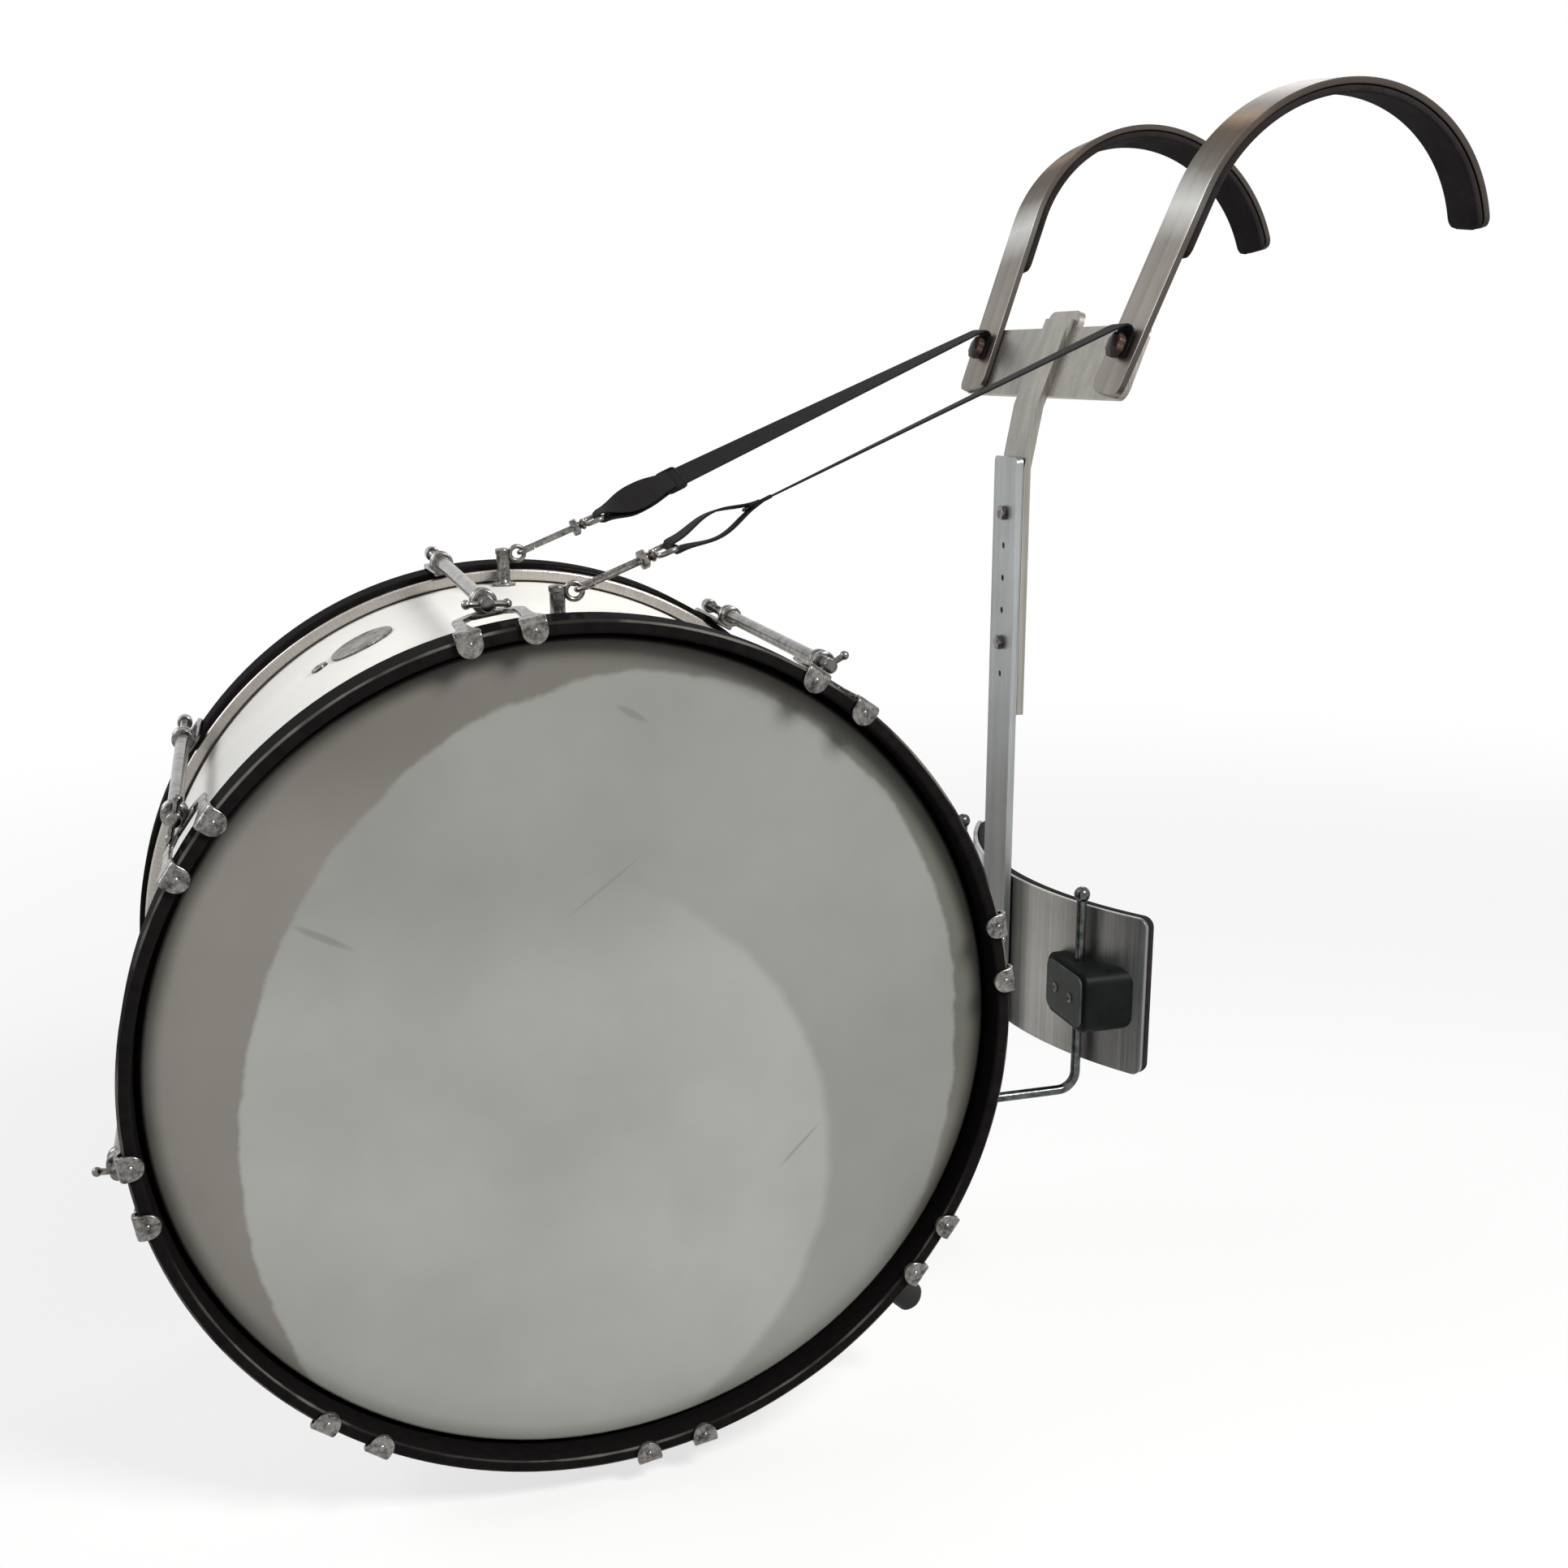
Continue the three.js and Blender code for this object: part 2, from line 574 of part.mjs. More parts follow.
function makeHookGate(group, name) {
  const start = hookTip + hook.halfWidth + hook.nose + gate.gap;
  const end = hookBase - gate.gap;
  const at = (x) => new THREE.Vector3(x, -hook.halfWidth, 0);
  addPiece(group, name, "chrome", solid(bar(at(start), at(end), gate.wire, facets.rod)));
}

// The strap's line in X and Z from the ring's bar by the slider, over the knob and down to its end on the chest frame.
function strapRoute() {
  const along = new THREE.Vector2(Math.cos(hook.rise * degree), Math.sin(hook.rise * degree));
  const ring = eyeMiddle.clone().addScaledVector(along, ringBar + strapRing.bar / 2);
  const buckle = new THREE.Vector2(eyeMiddle.x + slider.fromEye, shell.radius + slider.aboveShell);
  const out = clearance + strap.thickness / 2;
  const knobUp = strapKnob.up;
  const lapStart = onFace(knobUp + strap.lap, out);
  const lapEnd = onFace(knobUp - strap.tail, out);
  return { ring, buckle, lapStart, lapEnd };
}

// The loop's centre line: from the slider round the ring's bar and back, as [along, across] from the ring.
function loopLine(length, turnRadius) {
  const branch = [];
  const steps = 2 * facets.arc;
  const closed = strap.thickness / 2 + clearance;
  for (let k = steps; k >= 0; k--) {
    const share = k / steps;
    const bulge = strap.loopBulge * Math.sin(Math.PI * share) ** 2;
    branch.push([length * share, turnRadius * (1 - share) + closed * share + bulge]);
  }
  for (let k = 1; k < facets.arc; k++) {
    const angle = Math.PI / 2 + (Math.PI / 2) * (k / facets.arc);
    branch.push([turnRadius * Math.cos(angle), turnRadius * Math.sin(angle)]);
  }
  const mirrored = [...branch].reverse().map(([a, b]) => [a, -b]);
  return [...branch, [-turnRadius, 0], ...mirrored];
}

function makeStrap(drum, name, y) {
  const { ring, buckle, lapStart, lapEnd } = strapRoute();
  const half = strap.thickness / 2;
  const along = buckle.clone().sub(ring).normalize();
  const across = new THREE.Vector2(-along.y, along.x);
  const place = ([a, b]) => ring.clone().addScaledVector(along, a).addScaledVector(across, b);
  const turnRadius = strapRing.thickness / 2 + strap.play + half;
  const loop = loopLine(buckle.distanceTo(ring), turnRadius).map(place);
  const single = roundedLine([buckle, lapStart, lapEnd], strap.bend);
  const low = y - strap.width / 2;
  const high = y + strap.width / 2;
  const bands = [loop, single].map((line) => solid(alongY(band(line, half, -half), low, high)));
  const reach = buckle.distanceTo(ring);
  const long = slider.length / 2;
  const tall = slider.thickness / 2;
  const box = [
    [reach - long, -tall],
    [reach + long, -tall],
    [reach + long, tall],
    [reach - long, tall],
  ].map(place);
  const buckleBody = solid(alongY(new THREE.Shape(box), low - half, high + half));
  const stem = solid(throughFace(strapKnob.up, y, -overrun, overrun, strap.hole, facets.round));
  addPiece(drum, name, "webbing", joined(...bands, buckleBody).subtract(stem));
}

// The line of an arm's outer surface: up the chest frame's face, then round over the shoulder.
function armLine() {
  const start = onFace(-arm.below);
  const points = [start];
  const from = Math.PI - lean;
  const to = arm.tipAngle * degree;
  const steps = 3 * facets.arc;
  for (let k = 0; k <= steps; k++) {
    const angle = from + ((to - from) * k) / steps;
    points.push(shoulder.clone().add(new THREE.Vector2(Math.cos(angle), Math.sin(angle)).multiplyScalar(arm.radius)));
  }
  return points;
}

// An arm leans outward: it is turned about its knob's axis, flat on the chest frame's face.
function splayed(body, y) {
  const knob = onFace(strapKnob.up);
  const axis = new THREE.Vector3(faceOut.x, 0, faceOut.y);
  const place = new THREE.Matrix4().makeTranslation(knob.x, y, knob.y);
  const turn = new THREE.Matrix4().makeRotationAxis(axis, Math.sign(y) * arm.splay * degree);
  const matrix = place.clone().multiply(turn).multiply(place.clone().invert());
  return body.transform(matrix.elements);
}

// What an arm may fill, seen from above: full width in front, narrowing to a round end behind the shoulder.
function armPlan(y, inset) {
  const wide = arm.width / 2 - inset;
  const slim = arm.tipWidth / 2 - inset;
  const end = shoulder.x + arm.radius + arm.thickness;
  const shape = new THREE.Shape();
  shape.moveTo(chestFoot.x - overrun - arm.width, y - wide);
  shape.lineTo(shoulder.x, y - wide);
  shape.lineTo(end, y - slim);
  shape.lineTo(end, y + slim);
  shape.lineTo(shoulder.x, y + wide);
  shape.lineTo(chestFoot.x - overrun - arm.width, y + wide);
  return solid(alongZ(shape, chestFoot.y - arm.width, shoulder.y + arm.radius + overrun));
}

function makeArm(carrier, name, y) {
  const shape = band(armLine(), 0, -arm.thickness);
  const strip = solid(alongY(shape, y - arm.width, y + arm.width));
  const stem = solid(throughFace(strapKnob.up, y, -overrun, overrun, strapKnob.hole, facets.round));
  addPiece(carrier, name, "aluminium", splayed(strip.intersect(armPlan(y, 0)), y).subtract(stem));
}

function makeArmPad(carrier, name, y) {
  const line = [onFace(arm.straight - armPad.below), ...armLine().slice(1)];
  const depth = arm.thickness + clearance;
  const shape = band(line, -depth, -depth - armPad.thickness);
  const strip = solid(alongY(shape, y - arm.width, y + arm.width));
  addPiece(carrier, name, "foam", splayed(strip.intersect(armPlan(y, armPad.inset)), y));
}

// The cross plate behind the arms' feet with a lug in its middle, one with the upper spine bar.
function makeChestFrame(carrier) {
  const halfSpan = strapLine + arm.width / 2 - chest.inset;
  const high = chest.height - chest.below;
  const plateShape = roundedBox(-halfSpan, halfSpan, -chest.below, high, chest.corner);
  const lugShape = roundedBox(-chest.lugWidth, chest.lugWidth, 0, high + chest.lug, chest.corner);
  const front = -(arm.thickness + clearance);
  // The shapes are drawn across and up the face; X then becomes Y, and Y the face's own up.
  const onto = new THREE.Matrix4().makeBasis(
    new THREE.Vector3(0, 1, 0),
    new THREE.Vector3(faceUp.x, 0, faceUp.y),
    new THREE.Vector3(-faceOut.x, 0, -faceOut.y),
  );
  onto.setPosition(chestFoot.x, 0, chestFoot.y);
  const laid = (shape, from, to) => solid(alongZ(shape, from, to).applyMatrix4(onto));
  const plate = laid(plateShape, -front, -front + chest.plate);
  const lug = laid(lugShape, -front, -front + chest.plate);
  const face = onFace(-upperBar.leanDepth);
  const bend = lowerBarTop - upperBar.bendBelowTop;
  const corners = [
    new THREE.Vector2(upperFace, bend - upperBar.length),
    new THREE.Vector2(upperFace, bend),
    face,
    onFace(high + chest.lug - upperBar.topCorner),
  ];
  const line = roundedLine(corners, spine.bend);
  const half = spine.width / 2;
  const upright = solid(alongY(band(line, 0, -chest.bar), -half, half));
  const cuts = [];
  for (const height of adjusterHeights) {
    const low = height - slots.below - slots.halfWidth;
    const top = height + slots.above + slots.halfWidth;
    const slot = roundedBox(-slots.halfWidth, slots.halfWidth, low, top, slots.halfWidth - weld);
    cuts.push(solid(alongX(slot, spineFront, upperFace + chest.bar + overrun)));
  }
  for (const y of [-strapLine, strapLine]) {
    cuts.push(solid(throughFace(strapKnob.up, y, -overrun, overrun, strapKnob.hole, facets.round)));
  }
  const made = cuts.reduce((rest, cut) => rest.subtract(cut), joined(plate, lug, upright));
  addPiece(carrier, "chest_frame", "aluminium", made);
}

function makeStrapKnob(carrier, name, y) {
  const seat = clearance + strap.thickness + clearance;
  const back = -(arm.thickness + clearance + chest.plate + clearance);
  const head = throughFace(strapKnob.up, y, seat, seat + strapKnob.head, strapKnob.radius, facets.round);
  const stem = throughFace(strapKnob.up, y, back - strapKnob.nutThickness, seat + clearance, strapKnob.stem);
  const nut = throughFace(strapKnob.up, y, back - strapKnob.nutThickness, back, strapKnob.nut, facets.hex);
  addPiece(carrier, name, "brownKnob", joined(solid(head), solid(stem), solid(nut)));
}

function makeLowerBar(lower) {
  const half = spine.width / 2;
  const shape = roundedBox(-half, half, lowerBar.bottom, lowerBarTop, lowerBar.corner);
  lowerBar.holesBelowTop.forEach((z) => shape.holes.push(circle(0, lowerBarTop - z, lowerBar.holeRadius)));
  adjusterHeights.forEach((z) => shape.holes.push(circle(0, z, adjuster.hole)));
  addPiece(lower, "lower_bar", "aluminium", solid(alongX(shape, spineFront, spineBack)));
}

function makeAdjusterBolt(lower, name, z) {
  const at = (x) => new THREE.Vector3(x, 0, z);
  const head = bar(at(spineFront - clearance - adjuster.head), at(spineFront - clearance), adjuster.headRadius, facets.hex);
  const back = upperFace + chest.bar + clearance;
  const shank = bar(at(spineFront - adjuster.head), at(back + adjuster.nut), adjuster.shank);
  const nut = bar(at(back), at(back + adjuster.nut), adjuster.nutRadius, facets.hex);
  addPiece(lower, name, "chrome", joined(solid(head), solid(shank), solid(nut)));
}

// A curved layer of the belly plate, from one radius in to another, trimmed to a rounded outline seen from the front.
function bellyLayer(outer, inner, halfWidth) {
  const halfAngle = Math.asin((halfWidth + overrun) / belly.radius);
  const line = [];
  const steps = 3 * facets.arc;
  for (let k = 0; k <= steps; k++) {
    const angle = Math.PI - halfAngle + (2 * halfAngle * k) / steps;
    line.push([Math.cos(angle), Math.sin(angle)]);
  }
  const arc = (radius) => line.map(([c, s]) => new THREE.Vector2(bellyCentre + radius * c, radius * s));
  const shape = new THREE.Shape([...arc(outer), ...arc(inner).reverse()]);
  const layer = solid(alongZ(shape, belly.bottom - overrun, belly.top + overrun));
  const edge = halfWidth - belly.halfWidth;
  const trim = roundedBox(-halfWidth, halfWidth, belly.bottom - edge, belly.top + edge, belly.corner);
  return layer.intersect(solid(alongX(trim, spineFront, bellyCentre)));
}

function makeBelly(lower) {
  const inner = belly.radius - belly.thickness;
  const padOuter = inner - clearance;
  addPiece(lower, "belly_plate", "aluminium", bellyLayer(belly.radius, inner, belly.halfWidth));
  const pad = bellyLayer(padOuter, padOuter - bellyPad.thickness, belly.halfWidth + bellyPad.overhang);
  addPiece(lower, "belly_pad", "foam", pad);
}

// A block on the belly plate that a J-rod slides in, with a screwed plate on its face.
function makeClampBlock(lower, name, y) {
  const shape = roundedBox(y - block.halfWidth, y + block.halfWidth, block.bottom, block.top, block.corner);
  const body = solid(alongX(shape, blockFace + facePlate.proud, blockFace + block.back));
  const inset = facePlate.inset;
  const plateShape = roundedBox(
    y - block.halfWidth + inset,
    y + block.halfWidth - inset,
    block.bottom + inset,
    block.top - inset,
    block.corner - inset,
  );
  const plate = solid(alongX(plateShape, blockFace, blockFace + 2 * facePlate.proud));
  const middle = (block.top + block.bottom) / 2;
  const screws = [-1, 1].map((k) => {
    const across = y + (k * facePlate.screwSpacing) / 2;
    const from = new THREE.Vector3(blockFace - facePlate.screwProud, across, middle);
    return solid(bar(from, from.clone().setX(blockFace + facePlate.proud), facePlate.screwRadius));
  });
  const rodAt = (z) => new THREE.Vector3(jRodX, Math.sign(y) * rodLine, z);
  const bore = solid(bar(rodAt(block.bottom - overrun), rodAt(block.top + overrun), block.bore, facets.round));
  const space = circle(bellyCentre, 0, belly.radius + clearance, 4 * facets.ring);
  const behind = alongZ(space, block.bottom - overrun, block.top + overrun);
  addPiece(lower, name, "blackCast", joined(body, plate, ...screws).subtract(bore).subtract(solid(behind)));
}

// A rod that hangs in the block by its ball and runs forward under it into the receiver on the shell.
function makeJRod(drum, name, y) {
  const line = new THREE.CurvePath();
  const at = (x, z) => new THREE.Vector3(x, y, z);
  const corners = [
    new THREE.Vector2(jRodX, jRod.top),
    new THREE.Vector2(jRodX, jRod.reachZ),
    new THREE.Vector2(jRodEnd, jRod.reachZ),
  ];
  const points = roundedLine(corners, jRod.bend).map((p) => at(p.x, p.y));
  points.slice(1).forEach((p, k) => line.add(new THREE.LineCurve3(points[k], p)));
  const rod = new THREE.ExtrudeGeometry(circle(0, 0, jRod.radius, facets.rod), {
    steps: 2 * facets.path,
    extrudePath: line,
  });
  const ball = new THREE.SphereGeometry(jRod.ball, facets.rod + 2, facets.rod).translate(jRodX, y, jRod.top);
  addPiece(drum, name, "chrome", joined(solid(rod), solid(ball)));
}

function makeReceiver(drum, name, y) {
  const at = (x) => new THREE.Vector3(x, y, jRod.reachZ);
  const mouth = shell.radius + receiver.mouth;
  const receiverFace = shell.radius - receiver.root - jRod.inShell + receiver.depth;
  const foot = roundedBox(
    y - receiver.halfWidth,
    y + receiver.halfWidth,
    jRod.reachZ - receiver.halfHeight,
    jRod.reachZ + receiver.halfHeight,
    receiver.tube / 2,
  );
  const body = solid(alongX(foot, shell.radius - receiver.root - jRod.inShell, receiverFace));
  const tube = solid(bar(at(shell.radius - receiver.root), at(mouth), receiver.tube, facets.round));
  const bore = solid(bar(at(jRodEnd - clearance), at(mouth + overrun), receiver.bore, facets.rod));
  addPiece(drum, name, "chrome", joined(body, tube).subtract(shellEnvelope).subtract(bore));
}

const part = new THREE.Group();
const assembly = new THREE.Group();
const padUnderside = arm.radius - arm.thickness - clearance - armPad.thickness;
const crest = new THREE.Vector2(shoulder.x, shoulder.y + padUnderside);
const rise = crest.clone().sub(onFace(strapKnob.up)).dot(faceUp);
crest.addScaledVector(faceUp, rise * (Math.cos(arm.splay * degree) - 1));
assembly.position.set(-crest.x, 0, -crest.y);
part.add(assembly);

makeShell(assembly);
makeVent(assembly);
makeBadge(assembly);
for (const [end, side] of [["near", -1], ["far", 1]]) {
  makeHead(assembly, `${end}_head`, side);
  makeFleshHoop(assembly, `${end}_flesh_hoop`, side);
  makeHoop(assembly, `${end}_hoop`, side);
}
makeStations(assembly);
makeFoot(assembly);
for (const [end, side] of [["near", -1], ["far", 1]]) {
  const y = side * strapLine;
  const rodY = side * rodLine;
  makePost(assembly, `${end}_strap_post`, y);
  const group = hookGroup(assembly, y);
  makeSnapHook(group, `${end}_snap_hook`);
  makeHookGate(group, `${end}_hook_gate`);
  makeStrap(assembly, `${end}_strap`, y);
  makeArm(assembly, `${end}_arm`, y);
  makeArmPad(assembly, `${end}_arm_pad`, y);
  makeStrapKnob(assembly, `${end}_strap_knob`, y);
  makeClampBlock(assembly, `${end}_clamp_block`, rodY);
  makeJRod(assembly, `${end}_j_rod`, rodY);
  makeReceiver(assembly, `${end}_rod_receiver`, rodY);
}
makeChestFrame(assembly);
makeLowerBar(assembly);
adjusterHeights.forEach((z, i) => makeAdjusterBolt(assembly, `adjuster_bolt_${i + 1}`, z));
makeBelly(assembly);

export default part;
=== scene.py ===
"""A marching bass drum on its shoulder carrier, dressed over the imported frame.

Lengths are in metres. Pieces are worked out about the drum's own centre, with X towards the wearer, Y from the near
head to the far head and Z up, and are moved into the frame when their mesh is made.
"""
import math

import bpy
import numpy as np
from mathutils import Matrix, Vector


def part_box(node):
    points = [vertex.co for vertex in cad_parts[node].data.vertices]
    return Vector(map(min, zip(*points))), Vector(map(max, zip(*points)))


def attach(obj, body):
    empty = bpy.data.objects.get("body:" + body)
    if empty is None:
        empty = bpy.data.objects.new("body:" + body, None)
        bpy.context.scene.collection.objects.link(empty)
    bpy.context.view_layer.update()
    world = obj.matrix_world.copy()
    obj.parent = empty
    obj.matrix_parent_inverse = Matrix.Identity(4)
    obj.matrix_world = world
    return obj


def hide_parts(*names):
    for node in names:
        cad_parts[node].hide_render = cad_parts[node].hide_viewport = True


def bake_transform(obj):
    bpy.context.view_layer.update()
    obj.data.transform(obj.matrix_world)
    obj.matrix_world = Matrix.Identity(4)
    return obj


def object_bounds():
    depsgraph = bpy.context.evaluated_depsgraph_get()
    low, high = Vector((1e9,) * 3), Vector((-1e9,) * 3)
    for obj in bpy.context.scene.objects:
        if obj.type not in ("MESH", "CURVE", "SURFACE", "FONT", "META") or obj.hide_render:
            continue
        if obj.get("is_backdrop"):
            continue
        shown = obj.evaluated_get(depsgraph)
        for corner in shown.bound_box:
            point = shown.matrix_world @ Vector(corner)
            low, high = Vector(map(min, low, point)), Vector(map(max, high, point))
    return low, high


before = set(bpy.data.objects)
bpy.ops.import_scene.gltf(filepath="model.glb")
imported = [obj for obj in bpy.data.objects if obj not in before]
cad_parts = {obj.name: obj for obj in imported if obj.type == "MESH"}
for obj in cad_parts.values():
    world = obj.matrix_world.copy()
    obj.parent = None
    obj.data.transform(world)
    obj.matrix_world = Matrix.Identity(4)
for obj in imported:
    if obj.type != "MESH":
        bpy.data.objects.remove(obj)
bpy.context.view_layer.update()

HOOP_LOW, HOOP_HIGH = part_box("near_hoop")
DRUM_CENTRE = np.array([(HOOP_LOW.x + HOOP_HIGH.x) / 2, 0.0, (HOOP_LOW.z + HOOP_HIGH.z) / 2])

bl_info = {
    "name": "Marching bass drum and carrier",
    "version": (1, 0, 0),
    "blender": (4, 5, 0),
    "location": "3D View > Sidebar > Drum",
    "description": "Makes the drum, its hardware, straps and shoulder carrier over the packed frame",
    "category": "Object",
}

SIDES = (("near", -1), ("far", 1))
STATIONS = range(8)
HANDLE_TURNS = (62, 25, 100, 70, 15, 84, 40, 150)
X, Y, Z = np.eye(3)
UPWARDS = (0, math.radians(90), 0)

# Places about the drum's centre and sizes that several pieces share, in metres
GAP = 0.0003  # between pieces that lie against each other
FITTING_LINE = 0.036  # the badge and the vent, from the drum's middle towards the far head
FOOT_LINE = -0.134  # the rubber foot, on the same line
EYE_AT = (0.006, 0.331)  # the strap posts' eyes, along and up; the posts stand as far to the other side
SIDE_WIRE = 0.0065  # half the width of a snap hook's loop
RING_AT = (0.0634, 0.0774)  # the strap ring's two bars, from the eye along the hook
HOOK_END = 0.0545  # where a snap hook's wire runs into its yoke, from the eye
SLIDER_AT = (0.140, 0.389)  # along and up
BULGES = {"near": 0.0065, "far": 0.0010}  # how far each layer of a strap's loop bows out
TWISTS = {"near": (-11, -8, -9), "far": (30, 58, 14)}  # degrees at the slider, in the loop and after the slider
STRAP_THICK = 0.0016
RING_TURN = 0.0040  # radius of the webbing's turn round the ring
CHEST_FOOT = (0.413876, 0, 0.470)  # where the chest plate's face line starts
KNOB_UP = 0.030  # the strap knobs and the lean of the arms, up the face line
LAP = (0.052, 0.0225, 0.0013)  # the webbing on the chest plate: from, to up the face line, and out of it
BOLT_HEIGHTS = (0.366, 0.258)
BELLY_FRONT = 0.3978
BELLY_HIGH, BELLY_LOW, BELLY_HALF = 0.058, -0.074, 0.168
CLAMP_FRONT, CLAMP_HEIGHT = 0.402, -0.012
ROD_LINE, ROD_END = 0.414, 0.293  # a J-rod's upright, and where its foot ends, along
ROD_TOP, ROD_FOOT = 0.070, -0.097


# Properties


def length(name, description, default):
    """A size in metres."""
    return bpy.props.FloatProperty(
        name=name, description=description, default=default, min=0.0, unit="LENGTH", subtype="DISTANCE", precision=4
    )


def angle(name, description, degrees):
    """An angle, given in degrees and kept in radians."""
    return bpy.props.FloatProperty(
        name=name, description=description, default=math.radians(degrees), unit="ROTATION", subtype="ANGLE"
    )


def linear(value):
    """A screen colour channel from 0 to 255 as linear light."""
    share = value / 255
    return share / 12.92 if share <= 0.04045 else ((share + 0.055) / 1.055) ** 2.4


def paint(red, green, blue):
    """A screen colour as linear RGBA."""
    return (linear(red), linear(green), linear(blue), 1.0)


def colour(name, description, red, green, blue):
    """A colour, given as it looks on screen."""
    return bpy.props.FloatVectorProperty(
        name=name, description=description, default=paint(red, green, blue), size=4, min=0.0, max=1.0, subtype="COLOR"
    )


class DrumSizes(bpy.types.PropertyGroup):
    """Sizes of the drum's shell, heads and hoops."""

    shell_radius: length("Shell radius", "Outer radius of the wrapped shell", 0.3045)
    shell_wall: length("Shell wall", "Thickness of the shell", 0.007)
    shell_depth: length("Shell depth", "Depth of the shell between its bearing edges", 0.356)
    hoop_inner: length("Hoop inner radius", "Inner radius of the wooden hoops", 0.310)
    hoop_outer: length("Hoop outer radius", "Outer radius of the wooden hoops", 0.320)
    hoop_width: length("Hoop width", "Width of a hoop along the drum", 0.040)
    hoop_overhang: length("Hoop overhang", "How far a hoop stands past the shell", 0.020)
    head_radius: length("Head radius", "Radius over the collar of a head", 0.3060)
    head_film: length("Head thickness", "Thickness of a head's film", 0.0009)
    head_collar: length("Head collar", "Depth of the collar that runs down over the shell", 0.024)
    badge_angle: angle("Badge angle", "Where the badge sits round the shell", 115.5)
    vent_angle: angle("Vent angle", "Where the vent sits round the shell", 122.503)
    foot_angle: angle("Foot angle", "Where the rubber foot stands round the shell", -44)


class HardwareSizes(bpy.types.PropertyGroup):
    """Sizes of the claws, tension rods, hooks and straps."""

    first_station: angle("First station", "Place of the first tension rod round the drum", 10)
    rod_radius: length("Rod circle", "Distance of the tension rods from the drum's axis", 0.331)
    claw_width: length("Claw width", "Width of a claw's tongue over the hoop", 0.0185)
    claw_metal: length("Claw metal", "Thickness of a claw's metal", 0.0036)
    claw_spread: length("Claw spread", "Half the distance between a yoke's two claws", 0.022)
    rod_sleeve: length("Rod sleeve", "Radius of a tension rod's sleeve", 0.006)
    strap_width: length("Strap width", "Width of the webbing", 0.025)
    strap_metal: length("Hook wire", "Radius of a snap hook's wire", 0.0019)
    strap_line: length("Strap line", "Distance of the straps from the drum's middle", 0.132)
    hook_rise: angle("Hook rise", "How steeply a hook stands", 22.2)


class CarrierSizes(bpy.types.PropertyGroup):
    """Sizes of the carrier that the wearer puts on."""

    arm_width: length("Arm width", "Width of a shoulder arm in front", 0.047)
    arm_tip: length("Arm tip", "Width of a shoulder arm at its rear end", 0.040)
    arm_metal: length("Arm metal", "Thickness of a shoulder arm", 0.005)
    arm_radius: length("Arm radius", "Outer radius of the arch over a shoulder", 0.127)
    arm_straight: length("Arm straight", "Straight part of an arm, from the chest plate's foot line", 0.15085)
    arm_end: angle("Arm end", "Where the arch ends behind the shoulder, over the level", 11)
    arm_splay: angle("Arm splay", "How far an arm leans outward about its knob", 6.4)
    pad_foam: length("Arm foam", "Thickness of the foam under an arm", 0.0058)
    pad_below: length("Foam start", "How far down an arm's straight part the foam begins", 0.048)
    chest_lean: angle("Chest lean", "How far the chest plate leans", 21)
    belly_radius: length("Belly radius", "Radius that the belly plate is bent to", 0.300)
    belly_metal: length("Belly metal", "Thickness of the belly plate", 0.004)
    rod_line: length("Rod line", "Distance of the J-rods from the drum's middle", 0.124)
    j_rod: length("J-rod radius", "Radius of a J-rod", 0.004)


class Colours(bpy.types.PropertyGroup):
    """Colours of the finishes, as they look in plain light."""

    wrap: colour("Wrap", "Glossy wrap on the shell", 240, 238, 232)
    film: colour("Head", "Coated film of a head", 139, 140, 135)
    film_rim: colour("Head rim", "Film outside the worn part of a head", 124, 122, 115)
    hoop: colour("Hoop", "Lacquer on the wooden hoops", 20, 18, 18)
    chrome: colour("Chrome", "Plated claws, hooks and rods", 128, 125, 122)
    aluminium: colour("Aluminium", "Brushed lower bar", 156, 159, 159)
    arm: colour("Arm", "Brushed arms and chest plate", 152, 149, 142)
    steel: colour("Steel", "Dull J-rods", 92, 96, 95)
    belly: colour("Belly plate", "Brushed belly plate", 197, 197, 197)
    foam: colour("Foam", "Foam under the arms and behind the belly plate", 33, 29, 30)
    webbing: colour("Webbing", "Woven straps", 27, 25, 26)
    rubber: colour("Rubber", "Moulded rubber foot", 26, 25, 25)
    # Film outside the patch of painted light on a head.
    block: colour("Clamp block", "Moulded clamp blocks", 15, 19, 18)
    face: colour("Face plate", "Plates on the clamp blocks", 74, 78, 77)
    knob: colour("Knob", "Moulded strap knobs", 62, 44, 39)
    floor: colour("Floor", "Studio floor", 241, 241, 240)


# Shapes


def unit(vectors):
    """Vectors divided by their own length."""
    return vectors / np.maximum(np.linalg.norm(vectors, axis=-1, keepdims=True), 1e-12)


